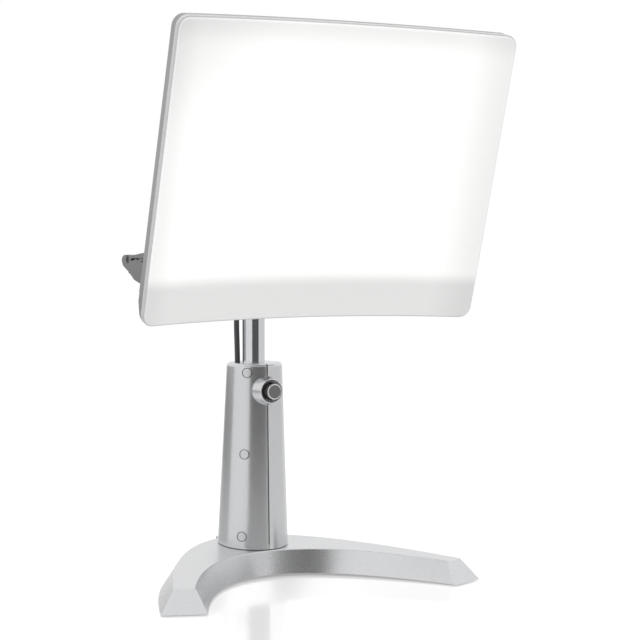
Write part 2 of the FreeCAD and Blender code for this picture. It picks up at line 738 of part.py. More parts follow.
pin_length = "lever_width + 14"
lever_pin = cylinder("LeverPin", "pivot_pin_radius", pin_length, "-(%s) / 2" % pin_length, "lever_y", lever_z, "X")
node(lever_pin, "lever_pin")
holder_pieces = []
for side, start in (("L", "-(%s) / 2" % pin_length), ("R", "lever_width / 2 + hinge_gap")):
    cheek_width = "(%s) / 2 - lever_width / 2 - hinge_gap" % pin_length
    cheek = box("Cheek" + side, cheek_width, "9", "10", start, "lever_y - 5", lever_z + " - 5")
    seat = cylinder("CheekSeat" + side, SOCKET_OUTER + " + seat_gap / 3", "20", 0, 0, lever_z + " - 10")
    bore = cylinder("CheekBore" + side, "pivot_pin_radius + running_gap", "40", "-20", "lever_y", lever_z, "X")
    holder_pieces.append(cut("Holder" + side, cheek, [seat, bore]))
node(group("LeverHolders", holder_pieces), "lever_holders")

# Mast tube, and the plug that guides its lower end in the socket

tube_outer = cylinder("TubeOuter", "tube_radius", "tube_top - tube_bottom", 0, 0, "tube_bottom")
tube_inner = cylinder("TubeInner", "tube_radius - tube_wall", "tube_top - tube_bottom + 2", 0, 0, "tube_bottom - 1")
node(cut("MastTube", tube_outer, [tube_inner]), "mast_tube")
mast_plug = revolved("MastPlug", [
    ("0", "0"),
    ("tube_radius", "0"),
    ("tube_radius", "2.5"),
    ("tube_radius - tube_wall - running_gap", "2.5"),
    ("tube_radius - tube_wall - running_gap", "plug_skirt"),
    ("0", "plug_skirt"),
], 0, 0, "tube_bottom - 2.5")
node(mast_plug, "mast_plug")

# Yoke: a hub on the mast's top, and a bowed bar out to the two tilt pivots

hub_top = "tube_top + 2.2"
hub = cylinder("HubBody", "hub_radius", "hub_height", 0, 0, "%s - hub_height" % hub_top)
hub_pad = box("HubPad", "2 * hub_radius", "-yoke_front_y - yoke_thickness", "yoke_height", "-hub_radius",
              "yoke_front_y + yoke_thickness", "yoke_z - yoke_height / 2")
hub_bore = cylinder("HubBore", "tube_radius + running_gap", "hub_height - 2.2", 0, 0,
                    "%s - hub_height" % hub_top)
yoke_screw_pieces = []
pad_ways = []
for side, sign in (("L", "-1"), ("R", "1")):
    screw_x = sign + " * hub_radius * 0.72"
    pad_ways.append(cylinder("PadWay" + side, "yoke_screw_radius + running_gap", "yoke_thickness + 4.3", screw_x,
                             "yoke_front_y - 1", "yoke_z", "Y"))
    shank = cylinder("YokeShank" + side, "yoke_screw_radius", "yoke_thickness + 3", screw_x,
                     "yoke_front_y - 0.5", "yoke_z", "Y")
    head = cylinder("YokeHead" + side, "yoke_screw_radius * 2", "2", screw_x, "yoke_front_y - 0.45", "yoke_z", "-Y")
    yoke_screw_pieces.append(fuse("YokeScrew" + side, [shank, head]))
node(group("YokeScrews", yoke_screw_pieces), "yoke_screws")
node(cut("YokeHub", fuse("HubBlank", [hub, hub_pad]), [hub_bore] + pad_ways), "yoke_hub")

tab_outer_x = "ear_outer_x - ear_thickness - washer_thickness - 2 * seat_gap / 3"
bow_half = "(%s - yoke_tab_thickness / 2)" % tab_outer_x
bow_sag = "(yoke_front_y - pivot_y - yoke_tab_radius)"
bow_radius = "((%s * %s + %s * %s) / (2 * %s))" % (bow_half, bow_half, bow_sag, bow_sag, bow_sag)
bow_z = "yoke_z - yoke_height / 2"
bow_outer = cylinder("BowOuter", bow_radius + " + yoke_thickness", "yoke_height", 0,
                     "yoke_front_y - %s" % bow_radius, bow_z)
bow_inner = cylinder("BowInner", bow_radius, "yoke_height + 2", 0, "yoke_front_y - %s" % bow_radius, bow_z + " - 1")
bow_ring = cut("BowRing", bow_outer, [bow_inner])
bow_clip = box("BowClip", "2 * (%s)" % tab_outer_x, "160", "yoke_height", "-(%s)" % tab_outer_x,
               "pivot_y + yoke_tab_radius", bow_z)
bow = common("Bow", [bow_ring, bow_clip])
tabs = []
tab_bores = []
for side, start in (("L", "-(%s)" % tab_outer_x), ("R", "%s - yoke_tab_thickness" % tab_outer_x)):
    plate = box("TabPlate" + side, "yoke_tab_thickness", "2 * yoke_tab_radius + 3",
                "pivot_z - yoke_z + yoke_height / 2", start, "pivot_y - yoke_tab_radius", bow_z)
    nose = cylinder("TabNose" + side, "yoke_tab_radius", "yoke_tab_thickness", start, "pivot_y", "pivot_z", "X")
    tabs.extend([plate, nose])
    tab_bores.append(cylinder("TabBore" + side, "pivot_radius + running_gap", "yoke_tab_thickness + 2",
                              start + " - 1", "pivot_y", "pivot_z", "X"))
yoke = cut("Yoke", fuse("YokeBlank", [bow] + tabs), tab_bores + pad_ways)
node(yoke, "yoke")

pivot_pieces = []
washer_pieces = []
nut_pieces = []
for side, sign, way in (("L", "-1", "X"), ("R", "1", "-X")):
    shank = cylinder("PivotShank" + side, "pivot_radius", "ear_thickness + washer_thickness + yoke_tab_thickness + 5",
                     sign + " * (ear_outer_x - 1)", "pivot_y", "pivot_z", way)
    away = "-X" if way == "X" else "X"
    head = cylinder("PivotHead" + side, "pivot_head_radius", "pivot_head", sign + " * (ear_outer_x - pivot_head)",
                    "pivot_y", "pivot_z", away)
    recess_x = sign + " * ear_outer_x - 0.8"
    slot = box("PivotSlot" + side, "1.6", "4.6", "0.9", recess_x, "pivot_y - 2.3", "pivot_z - 0.45")
    cross = box("PivotCross" + side, "1.6", "0.9", "4.6", recess_x, "pivot_y - 0.45", "pivot_z - 2.3")
    pivot_pieces.append(cut("PivotScrew" + side, fuse("PivotBlank" + side, [shank, head]), [slot, cross]))
    ring = cylinder("WasherRing" + side, "yoke_tab_radius - 1", "washer_thickness",
                    sign + " * (ear_outer_x - ear_thickness - seat_gap / 3)", "pivot_y", "pivot_z", way)
    ring_bore = cylinder("WasherBore" + side, "pivot_radius + running_gap", "10",
                         sign + " * (ear_outer_x - ear_thickness + 4)", "pivot_y", "pivot_z", way)
    washer_pieces.append(cut("Washer" + side, ring, [ring_bore]))
    nut = doc.addObject("Part::Prism", "NutBlank" + side)
    nut.Polygon = 6
    bind(nut, "Circumradius", "pivot_radius * 1.9")
    bind(nut, "Height", "4")
    put(nut, sign + " * (%s - yoke_tab_thickness)" % tab_outer_x, "pivot_y", "pivot_z", way)
    nut_bore = cylinder("NutBore" + side, "pivot_radius + running_gap", "12",
                        sign + " * (%s)" % tab_outer_x, "pivot_y", "pivot_z", way)
    nut_pieces.append(cut("PivotNut" + side, nut, [nut_bore]))
node(group("PivotScrews", pivot_pieces), "pivot_screws")
node(group("FrictionWashers", washer_pieces), "friction_washers")
node(group("PivotNuts", nut_pieces), "pivot_nuts")

# Head: diffuser, bezel, inner frame, lit tray and back shell, all bent round one upright axis

diffuser_block = rounded_block("DiffuserBlock", "head_width - 2 * diffuser_inset",
                               "head_height - 2 * diffuser_inset", "80", "head_corner - diffuser_inset", 0, "-40")
diffuser_sheet = common("DiffuserSheet", [diffuser_block, curved_layer("DiffuserLayer", "0", "diffuser_thickness")])
diffuser = rounded_rim("Diffuser", diffuser_sheet, size("face_radius"), "diffuser_round")
node(on_head(diffuser), "diffuser")

bezel_block = rounded_block("BezelBlock", "head_width", "head_height", "80", "head_corner", 0, "-40")
bezel_opening = rounded_block("BezelOpening", "head_width - 2 * bezel_width", "head_height - 2 * bezel_width",
                              "80", "head_corner - bezel_width", 0, "-40")
bezel_sheet = common("BezelSheet", [bezel_block, curved_layer("BezelLayer", "bezel_front", "bezel_back")])
node(on_head(cut("Bezel", bezel_sheet, [bezel_opening])), "bezel")

frame_outer = "(back_wall + seat_gap)"
frame_tall = "head_height - 2 * %s - frame_toe" % frame_outer
frame_block = rounded_block("FrameBlock", "head_width - 2 * %s" % frame_outer, frame_tall,
                            "80", "head_corner - %s" % frame_outer, 0, "-40", "frame_toe / 2")
frame_opening = rounded_block("FrameOpening", "head_width - 2 * %s - 2 * frame_width" % frame_outer,
                              frame_tall + " - 2 * frame_width", "80", "2", 0, "-40", "frame_toe / 2")
frame_layer = curved_layer("FrameLayer", "(bezel_back + running_gap)", "(tray_front - running_gap)")
frame_sheet = common("FrameSheet", [frame_block, frame_layer])
node(on_head(cut("InnerFrame", frame_sheet, [frame_opening])), "inner_frame")

tray_block = rounded_block("TrayBlock", "head_width - 2 * (back_wall + tray_side_gap)",
                           "head_height - 2 * (back_wall + tray_side_gap) - 2 * tray_rise", "80", "6", 0, "-40",
                           "tray_rise")
node(on_head(common("LedTray", [tray_block, curved_layer("TrayLayer", "tray_front",
                                                         "(tray_front + tray_thickness)")])), "led_tray")

strip_forms = []
led_forms = []
strip_total = int(size("strip_count"))
led_total = int(size("led_count"))
strip_height = size("head_height") - 2 * size("strip_end_gap") - 2 * size("tray_rise")
usable = size("head_width") - 60
for column in range(strip_total):
    angle = math.degrees(usable * (column / (strip_total - 1) - 0.5) / size("face_radius"))
    turn = Rotation(Z_AXIS, -angle)
    axis_at = Vector(0, -size("face_radius"), 0)
    seat = size("face_radius") + size("tray_front") - size("seat_gap") - size("strip_thickness")
    strip = Part.makeBox(size("strip_width"), size("strip_thickness"), strip_height,
                         Vector(-size("strip_width") / 2, seat, size("tray_rise") - strip_height / 2))
    strip.Placement = Placement(axis_at, turn)
    strip_forms.append(strip)
    for row in range(led_total):
        led_z = strip_height * ((row + 0.5) / led_total - 0.5) + size("tray_rise")
        led = Part.makeBox(size("led_size"), size("led_thickness"), size("led_size"),
                           Vector(-size("led_size") / 2, seat - size("led_thickness"), led_z - size("led_size") / 2))
        led.Placement = Placement(axis_at, turn)
        led_forms.append(led)
node(on_head(feature("LedStrips", Part.makeCompound(strip_forms))), "led_strips")
node(on_head(feature("Leds", Part.makeCompound(led_forms))), "leds")

back_block = rounded_block("BackBlock", "head_width", "head_height", "80", "head_corner", 0, "-40")
back_sheet_outer = cylinder("BackOuter", "face_radius + head_back", "head_height - back_taper_height - back_taper_start",
                            0, "-face_radius", "-head_height / 2 + back_taper_start + back_taper_height")
back_taper = cone("BackTaper", "face_radius + bezel_back + 0.6", "face_radius + head_back", "back_taper_height", 0,
                  "-face_radius", "-head_height / 2 + back_taper_start")
back_toe = cylinder("BackToe", "face_radius + bezel_back + 0.6", "back_taper_start", 0, "-face_radius",
                    "-head_height / 2")
back_front = cylinder("BackFront", "face_radius + bezel_back + running_gap", "head_height + 40", 0, "-face_radius",
                      "-head_height / 2 - 20")
back_sharp = common("BackSharp", [back_block, fuse("BackStack", [back_sheet_outer, back_taper, back_toe])])
back_solid = rounded_rim("BackSolid", back_sharp, size("face_radius") + size("head_back"), "back_round")
room_block = rounded_block("RoomBlock", "head_width - 2 * back_wall", "head_height - 2 * back_wall", "80",
                           "head_corner - back_wall", 0, "-40")
room_outer = cylinder("RoomOuter", "face_radius + head_back - back_wall",
                      "head_height - back_taper_height - back_taper_start", 0, "-face_radius",
                      "-head_height / 2 + back_taper_start + back_taper_height")
room_taper = cone("RoomTaper", "face_radius + bezel_back + 0.6 - back_wall", "face_radius + head_back - back_wall",
                  "back_taper_height", 0, "-face_radius", "-head_height / 2 + back_taper_start")
room_form = common("RoomForm", [room_block, fuse("RoomStack", [room_outer, room_taper])])

screw_spots = [(-0.46, 0.44), (0, 0.44), (0.46, 0.44), (-0.34, -0.44), (0, -0.44), (0.34, -0.44)]
back_screw_pieces = []
back_screw_ways = []
for number, (share_x, share_z) in enumerate(screw_spots):
    at_x = "head_width * %.2f" % share_x
    at_z = "head_height * %.2f - 4" % share_z if share_z > 0 else "head_height * %.2f + 17" % share_z
    bend = "(sqrt((face_radius + head_back) * (face_radius + head_back) - (%s) * (%s)) - face_radius)" % (at_x, at_x)
    shank = cylinder("BackShank%d" % number, "base_screw_radius", "back_wall + 1.4", at_x, bend + " + 0.5", at_z, "-Y")
    head = cylinder("BackHead%d" % number, "base_screw_head_radius", "1.5", at_x, bend + " + 0.5", at_z, "Y")
    back_screw_pieces.append(fuse("BackScrew%d" % number, [shank, head]))
    back_screw_ways.append(cylinder("BackWay%d" % number, "base_screw_radius + running_gap", "12", at_x,
                                    bend + " - 8", at_z, "Y"))
driver_back = "(head_back + driver_depth)"
cable_window = box("CableWindow", "30", "12", "16", "-15", "head_back - 8", "driver_z - 8")
back_shell = cut("BackShell", back_solid, [room_form, back_front, cable_window] + back_screw_ways)
node(on_head(back_shell), "head_back_shell")
node(on_head(group("BackScrews", back_screw_pieces)), "head_screws")

# Driver housing on the back of the head, with its board, switch and cable gland

housing_outer = rounded_block("DriverOuter", "driver_width", "driver_height", "head_back + driver_depth",
                              "driver_corner", 0, 0, "driver_z")
housing_inner = rounded_block("DriverInner", "driver_width - 2 * driver_wall", "driver_height - 2 * driver_wall",
                              "head_back + driver_depth - driver_wall", "driver_corner - driver_wall", 0, 0,
                              "driver_z")
housing_seat = cylinder("DriverSeat", "face_radius + head_back + seat_gap / 3", "head_height", 0, "-face_radius",
                        "-head_height / 2")
switch_hole = box("SwitchHole", "switch_width + 0.4", "10", "switch_height + 0.4",
                  "switch_x - switch_width / 2 - 0.2", driver_back + " - 6", "driver_z - switch_height / 2 - 0.2")
pivot_drop_formula = ("((head_face_y - pivot_y) * sin(head_tilt * 1 deg) + "
                      "(pivot_z - head_face_z) * cos(head_tilt * 1 deg))")
gland_hole = cylinder("GlandHole", "5.1", "12", "lead_x", driver_back + " - 6", pivot_drop_formula, "Y")
driver_housing = cut("DriverHousing", housing_outer, [housing_inner, housing_seat, switch_hole, gland_hole])
node(on_head(driver_housing), "driver_housing")

board = box("Board", "board_width", "board_thickness", "board_height", "board_x - board_width / 2",
            "head_back + 4", "driver_z - board_height / 2")
board_parts = [
    box("Transformer", "22", "11", "20", "board_x - 12", "head_back + 4 + board_thickness", "driver_z - 4"),
    cylinder("CapacitorA", "4", "10", "board_x + 28", "head_back + 4 + board_thickness", "driver_z + 16", "Y"),
    cylinder("CapacitorB", "4", "10", "board_x + 28", "head_back + 4 + board_thickness", "driver_z + 4", "Y"),
    box("Connector", "14", "7", "9", "lead_x - 7", "head_back + 4 + board_thickness",
        pivot_drop_formula + " - 4.5"),
]
standoffs = []
for number, (sx, sz) in enumerate([(-1, -1), (-1, 1), (1, -1), (1, 1)]):
    post_x = "board_x + %d * (board_width / 2 - 4)" % sx
    post_z = "driver_z + %d * (board_height / 2 - 4)" % sz
    standoffs.append(cylinder("Post%d" % number, "2.4", "4", post_x, "head_back", post_z, "Y"))
post_trim = cylinder("PostTrim", "face_radius + head_back + seat_gap / 3", "head_height", 0, "-face_radius",
                     "-head_height / 2")
board_posts = cut("BoardPosts", group("PostSet", standoffs), [post_trim])
node(on_head(fuse("DriverBoard", [board] + board_parts)), "driver_board")
node(on_head(board_posts), "board_standoffs")

flange_plate = box("SwitchFlange", "switch_width + 4", "switch_flange", "switch_height + 4",
                   "switch_x - switch_width / 2 - 2", driver_back, "driver_z - switch_height / 2 - 2")
switch_block = box("SwitchBlock", "switch_width", "12", "switch_height", "switch_x - switch_width / 2",
                   driver_back + " - 12", "driver_z - switch_height / 2")
rocker_room = box("RockerRoom", "switch_width - 3", "8", "switch_height - 2.4",
                  "switch_x - switch_width / 2 + 1.5", driver_back + " + switch_flange - 8",
                  "driver_z - switch_height / 2 + 1.2")
rocker_bore = cylinder("RockerBore", "1.2 + running_gap", "switch_height - 0.4", "switch_x",
                       driver_back + " + switch_flange - 3.5", "driver_z - switch_height / 2 + 0.2")
switch_blank = fuse("SwitchBlank", [flange_plate, switch_block])
node(on_head(cut("SwitchBody", switch_blank, [rocker_room, rocker_bore])), "switch_body")

rocker_half = size("switch_width") / 2 - 2.9
rocker_width = size("switch_height") - 3.6
rocker_angle = math.radians(size("switch_angle") / 2)
rocker_axis = size("head_back") + size("driver_depth") + size("switch_flange") - 3.5
rocker_rise = 3.2
rocker_points = [(-4, -2.6), (4, -2.6), (rocker_half, 0.4),
                 (rocker_half, rocker_rise + rocker_half * math.tan(rocker_angle)),
                 (0, rocker_rise),
                 (-rocker_half, rocker_rise - rocker_half * math.tan(rocker_angle) * 0.2), (-rocker_half, 0.4)]
rocker_outline = [Vector(size("switch_x") + x, rocker_axis + y, size("driver_z") - rocker_width / 2)
                  for x, y in rocker_points]
rocker_face = Part.Face(Part.makePolygon(rocker_outline + [rocker_outline[0]]))
rocker_pin = Part.makeCylinder(1.2, rocker_width + 2.8,
                               Vector(size("switch_x"), rocker_axis, size("driver_z") - rocker_width / 2 - 1.4))
rocker_form = rocker_face.extrude(Vector(0, 0, rocker_width)).fuse(rocker_pin)
node(on_head(feature("Rocker", rocker_form)), "rocker")

# Cable gland round the tilt axis, so that the lead only turns in its trumpet when the head tilts

tilt_angle = math.radians(size("head_tilt"))
down = Vector(0, size("pivot_y") - size("head_face_y"), size("pivot_z") - size("head_face_z"))
pivot_depth = down.y * math.cos(tilt_angle) + down.z * math.sin(tilt_angle)
pivot_drop = -down.y * math.sin(tilt_angle) + down.z * math.cos(tilt_angle)
back_depth = size("head_back") + size("driver_depth")
ball_room = pivot_depth - back_depth
ball_seat = ball_room - size("lead_radius") - size("seat_gap") / 3
flare = math.tan(math.radians(size("gland_flare"))) * (size("gland_length") - ball_room)
tail_bore = size("lead_radius") + size("running_gap")
ball_bore = size("lead_radius") + 2 * size("seat_gap")
neck = 5.0
gland_outline = [(tail_bore, -size("driver_wall") - 1.5), (neck, -size("driver_wall") - 1.5),
                 (neck, 0.1), (size("gland_radius"), 0.1), (size("gland_radius"), 2.2),
                 (neck, 3.0), (ball_bore + flare + size("gland_lip"), size("gland_length")),
                 (ball_bore + flare, size("gland_length")), (ball_bore, ball_room), (ball_bore, ball_seat),
                 (tail_bore, ball_seat)]
gland_points = [Vector(size("lead_x") + radius, back_depth + depth, pivot_drop) for radius, depth in gland_outline]
gland_face = Part.Face(Part.makePolygon(gland_points + [gland_points[0]]))
gland_form = gland_face.revolve(Vector(size("lead_x"), back_depth, pivot_drop), Y_AXIS, 360)
node(on_head(feature("CableGland", gland_form)), "cable_gland")
tail_start = size("head_back") + 4 + size("board_thickness") + 7.3
tail_form = Part.makeCylinder(size("lead_radius"), back_depth + ball_seat - tail_start,
                              Vector(size("lead_x"), tail_start, pivot_drop), Y_AXIS)
node(on_head(feature("LeadTail", tail_form)), "lead_tail")

# Tilt ears on the back shell

# The ear's side view at the rest lean, as steps back and up from the pivot: the outline, then the slot
EAR_OUTLINE = [(-69.4, 10.6), (-41.4, 7.5), (-9.7, 4), (-5.2, 4.9), (8.6, 4.5), (13, 2.6), (14.9, -0.4),
               (14.4, -3.1), (11.1, -7.2), (-1.4, -12.6), (-9.4, -17), (-15.9, -21), (-24.9, -23.3),
               (-33.4, -25), (-69.4, -31.8)]
EAR_SLOT = [(-74.4, 3.7), (-41.4, 2.4), (-9.7, 1.2), (-8.4, -0.3), (-8.6, -1.7), (-20.7, 0.1), (-31.9, -0.8),
            (-38.4, -3.1), (-74.4, -11.8)]


def ear_form(side):
    """One ear in the head's frame: a slotted gusset with a rounded nose behind the pivot, on a flange."""
    lean = math.radians(16.46)
    start_x = side * size("ear_outer_x") - (size("ear_thickness") if side > 0 else 0)

    def plate(steps):
        corners = []
        for back, up in steps:
            corners.append(Vector(start_x, pivot_depth + back * math.cos(lean) + up * math.sin(lean),
                                  pivot_drop - back * math.sin(lean) + up * math.cos(lean)))
        return Part.Face(Part.makePolygon(corners + [corners[0]])).extrude(Vector(size("ear_thickness"), 0, 0))

    bore = Part.makeCylinder(size("pivot_radius") + size("running_gap"), 40.0,
                             Vector(start_x - 10, pivot_depth, pivot_drop), X_AXIS)
    seat_x = side * size("ear_outer_x") - (size("pivot_head") + size("seat_gap") / 3 if side > 0 else 0)
    head_seat = Part.makeCylinder(size("pivot_head_radius") + size("pivot_head_gap"),
                                  size("pivot_head") + size("seat_gap") / 3,
                                  Vector(seat_x, pivot_depth, pivot_drop), X_AXIS)
    gusset = plate(EAR_OUTLINE).cut(plate(EAR_SLOT)).cut(bore).cut(head_seat)
    flange_x = start_x if side < 0 else start_x + size("ear_thickness") - size("ear_flange_width")
    flange_tall = size("ear_flange_low") + size("ear_flange_high")
    flange_block = Part.makeBox(size("ear_flange_width"), 60.0, flange_tall,
                                Vector(flange_x, -40.0, pivot_drop - size("ear_flange_low")))
    axis_at = Vector(0, -size("face_radius"), pivot_drop - 100)
    back_face = Part.makeCylinder(size("face_radius") + size("head_back") + size("seat_gap") / 3, 200.0, axis_at)
    flange_face = Part.makeCylinder(size("face_radius") + size("head_back") + size("ear_flange"), 200.0, axis_at)
    flange_plate = flange_block.common(flange_face)
    return gusset.fuse(flange_plate).cut(back_face).removeSplitter()


node(on_head(feature("EarLeft", ear_form(-1))), "tilt_ear_left")
node(on_head(feature("EarRight", ear_form(1))), "tilt_ear_right")

# Lead: slack in the base, the stretch that pays out, and the run up to the head

loop = size("slack_circle")
low = size("jack_height")
slack_points = [
    Vector(0, size("housing_back_y") - size("jack_length") - size("seat_gap"), low),
    Vector(0, loop + 5.0, low),
    Vector(loop * math.cos(math.radians(30)), loop * 0.5, low),
    Vector(loop * math.cos(math.radians(30)), -loop * 0.5, low),
    Vector(0, -loop, low + 0.5),
    Vector(-loop - 1.0, -10.0, low + 3.5),
    Vector(size("lead_x"), size("lead_y"), size("slack_high") - 20.0),
    Vector(size("lead_x"), size("lead_y"), size("slack_high")),
]
node(cord("LeadSlack", slack_points, size("lead_radius")), "lead_slack")
rise = cylinder("LeadRise", "lead_radius", "lead_low - slack_high", "lead_x", "lead_y", "slack_high")
node(rise, "lead_rise")

lead_points = [
    Vector(size("lead_x"), size("lead_y"), size("lead_low")),
    Vector(size("lead_x"), size("lead_y"), size("column_top") - 8),
    Vector(-16.4, 11.2, 292.0),
    Vector(-17.0, 8.0, 318.0),
    Vector(-17.0, -14.0, 333.0),
    Vector(-16.5, -46.0, 337.0),
    Vector(size("lead_x"), size("pivot_y") + 28.0, size("pivot_z")),
    Vector(size("lead_x"), size("pivot_y"), size("pivot_z")),
]
node(cord("Lead", lead_points, size("lead_radius"), True), "lead")

# Check every object, then write each sub-part

doc.recompute()
for thing in doc.Objects:
    if "Invalid" in thing.State or "Error" in thing.State:
        raise RuntimeError("%s did not build: %s" % (thing.Name, thing.State))
os.makedirs("parts", exist_ok=True)
for piece in NODES:
    if piece.Shape.isNull() or not piece.Shape.isValid():
        raise RuntimeError("%s has no valid shape" % piece.Label)
    box_now = piece.Shape.BoundBox
    print("%-20s solids %3d  volume %10.0f  z %7.1f .. %7.1f"
          % (piece.Label, len(piece.Shape.Solids), piece.Shape.Volume, box_now.ZMin, box_now.ZMax))
    piece.Shape.exportStep(os.path.join("parts", piece.Label + ".step"))
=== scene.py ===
"""Looks of the light therapy lamp: finishes, fine trim, camera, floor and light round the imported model."""

import logging
import math
from dataclasses import dataclass, field
from enum import Enum

import bmesh
import bpy
from mathutils import Matrix, Vector


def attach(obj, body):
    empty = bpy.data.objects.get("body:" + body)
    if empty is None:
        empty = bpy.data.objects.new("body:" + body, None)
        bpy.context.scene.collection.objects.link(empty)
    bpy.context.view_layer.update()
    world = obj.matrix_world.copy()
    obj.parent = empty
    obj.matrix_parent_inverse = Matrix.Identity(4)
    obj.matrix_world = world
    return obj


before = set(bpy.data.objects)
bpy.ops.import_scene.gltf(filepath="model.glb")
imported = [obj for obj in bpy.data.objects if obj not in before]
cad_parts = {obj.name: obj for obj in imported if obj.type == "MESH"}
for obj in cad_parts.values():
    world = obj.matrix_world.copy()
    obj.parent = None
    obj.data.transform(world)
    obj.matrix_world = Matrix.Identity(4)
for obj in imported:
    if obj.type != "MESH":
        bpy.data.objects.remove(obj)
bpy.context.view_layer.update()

LOG = logging.getLogger("lamp")

Colour = tuple[float, float, float]
Place = tuple[float, float, float]

WHITE = (1.0, 1.0, 1.0, 1.0)
BLACK = (0.0, 0.0, 0.0, 1.0)
FRONT = Vector((0.0, -1.0, 0.0))

# Height of the axis that the release button and its collar share, in metres.
BUTTON_Z = 0.2135


@dataclass
class NodeSheet:
    """The nodes of one material or of the world, with one call for each node.

    Attributes:
        owner: The material or the world.
    """

    owner: bpy.types.ID

    def __post_init__(self) -> None:
        """Switch the nodes on."""
        self.owner.use_nodes = True

    def node(self, name: str) -> bpy.types.Node:
        """Find a node that the sheet starts with.

        Args:
            name: The node's name.

        Returns:
            The node.
        """
        return self.owner.node_tree.nodes[name]

    def feed(self, node: bpy.types.Node, inputs: dict) -> None:
        """Set a node's inputs.

        Args:
            node: The node.
            inputs: For each input, by name or number, its value or the output that drives it.
        """
        for socket, value in inputs.items():
            if isinstance(value, bpy.types.NodeSocket):
                self.owner.node_tree.links.new(value, node.inputs[socket])
            else:
                node.inputs[socket].default_value = value

    def add(self, kind: str, inputs: dict | None = None) -> bpy.types.Node:
        """Make a node.

        Args:
            kind: The node's type.
            inputs: Its inputs, in the form that feed takes.

        Returns:
            The node.
        """
        made = self.owner.node_tree.nodes.new(kind)
        self.feed(made, inputs or {})
        return made

    def calculate(self, operation: str, *values: float | bpy.types.NodeSocket) -> bpy.types.NodeSocket:
        """Work a number out of others.

        Args:
            operation: What is done with them.
            values: Numbers, or outputs that give numbers.

        Returns:
            The output that holds the result.
        """
        made = self.add("ShaderNodeMath", dict(enumerate(values)))
        made.operation = operation
        return made.outputs["Value"]

    def noise(self, place: bpy.types.NodeSocket, scale: float, detail: float) -> bpy.types.NodeSocket:
        """Make a noise.

        Args:
            place: The output that gives the place.
            scale: The noise's scale, per metre.
            detail: How many finer layers it has.

        Returns:
            The output that holds the noise.
        """
        made = self.add("ShaderNodeTexNoise", {"Vector": place, "Scale": scale, "Detail": detail})
        return made.outputs["Fac"]


class Grain(Enum):
    """How a surface's fine relief runs."""

    FINE = "fine"
    BRUSHED = "brushed"
    CAST = "cast"
    SMOOTH = "smooth"

    @property
    def stretch(self) -> Place:
        """How the fine noise is scaled along each axis: brushed lines run upwards."""
        return (1.0, 1.0, 0.04) if self is Grain.BRUSHED else (1.0, 1.0, 1.0)

    @property
    def broad_scale(self) -> float:
        """The scale of the colour's mottle, per metre."""
        return 90.0 if self is Grain.CAST else 14.0


@dataclass(frozen=True)
class Finish:
    """A surface finish that can be put on any piece.

    Attributes:
        name: The material's name.
        colour: Linear base colour.
        roughness: Mean roughness.
        metallic: Share of metal.
        coat: Weight of a clear coat.
        grain: How the relief runs.
        relief: Depth of the relief in metres.
        mottle: How far the colour wanders to each side, as a share.
        scale: Scale of the fine noise, per metre.
        polish: How far the roughness wanders to each side.
        least_roughness: The least roughness that it comes to.
        coat_roughness: Roughness of the clear coat.
        relief_weight: Weight of the relief.
        fine_detail: Finer layers of the fine noise.
        broad_detail: Finer layers of the mottle.
    """

    name: str
    colour: Colour
    roughness: float = 0.45
    metallic: float = 0.0
    coat: float = 0.0
    grain: Grain = Grain.FINE
    relief: float = 0.00002
    mottle: float = 0.03
    scale: float = 900.0
    polish: float = 0.03
    least_roughness: float = 0.02
    coat_roughness: float = 0.15
    relief_weight: float = 0.35
    fine_detail: float = 3.0
    broad_detail: float = 2.0

    def material(self) -> bpy.types.Material:
        """Make the node material, or give back the one made before.

        The name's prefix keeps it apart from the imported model's own materials.

        Returns:
            The material.
        """
        full_name = "look_" + self.name
        made = bpy.data.materials.get(full_name)
        if made is not None:
            return made
        made = bpy.data.materials.new(full_name)
        sheet = NodeSheet(made)
        place = sheet.add("ShaderNodeTexCoord").outputs["Object"]
        stretched = sheet.add("ShaderNodeMapping", {"Vector": place, "Scale": self.grain.stretch})
        fine = sheet.noise(stretched.outputs["Vector"], self.scale, self.fine_detail)
        broad = sheet.noise(place, self.grain.broad_scale, self.broad_detail)
        shader = sheet.node("Principled BSDF")
        sheet.feed(shader, {
            "Base Color": self._tint(sheet, broad),
            "Roughness": self._sheen(sheet, fine),
            "Metallic": self.metallic,
            "Coat Weight": self.coat,
            "Coat Roughness": self.coat_roughness,
        })
        if self.grain is not Grain.SMOOTH:
            bump = sheet.add("ShaderNodeBump", {
                "Strength": self.relief_weight, "Distance": self.relief, "Height": fine})
            sheet.feed(shader, {"Normal": bump.outputs["Normal"]})
        return made

    def _tint(self, sheet: NodeSheet, noise: bpy.types.NodeSocket) -> bpy.types.NodeSocket:
        """The colour, wandering a little with a noise."""
        low = [max(0.0, value * (1.0 - self.mottle)) for value in self.colour]
        high = [min(1.0, value * (1.0 + self.mottle)) for value in self.colour]
        tint = sheet.add("ShaderNodeMix")
        tint.data_type = "RGBA"
        sheet.feed(tint, {"Factor": noise, "A": (*low, 1.0), "B": (*high, 1.0)})
        return tint.outputs["Result"]

    def _sheen(self, sheet: NodeSheet, noise: bpy.types.NodeSocket) -> bpy.types.NodeSocket:
        """The roughness, wandering a little with a noise."""
        sheen = sheet.add("ShaderNodeMapRange", {
            "Value": noise,
            "To Min": max(self.least_roughness, self.roughness - self.polish),
            "To Max": min(1.0, self.roughness + self.polish),
        })
        return sheen.outputs["Result"]


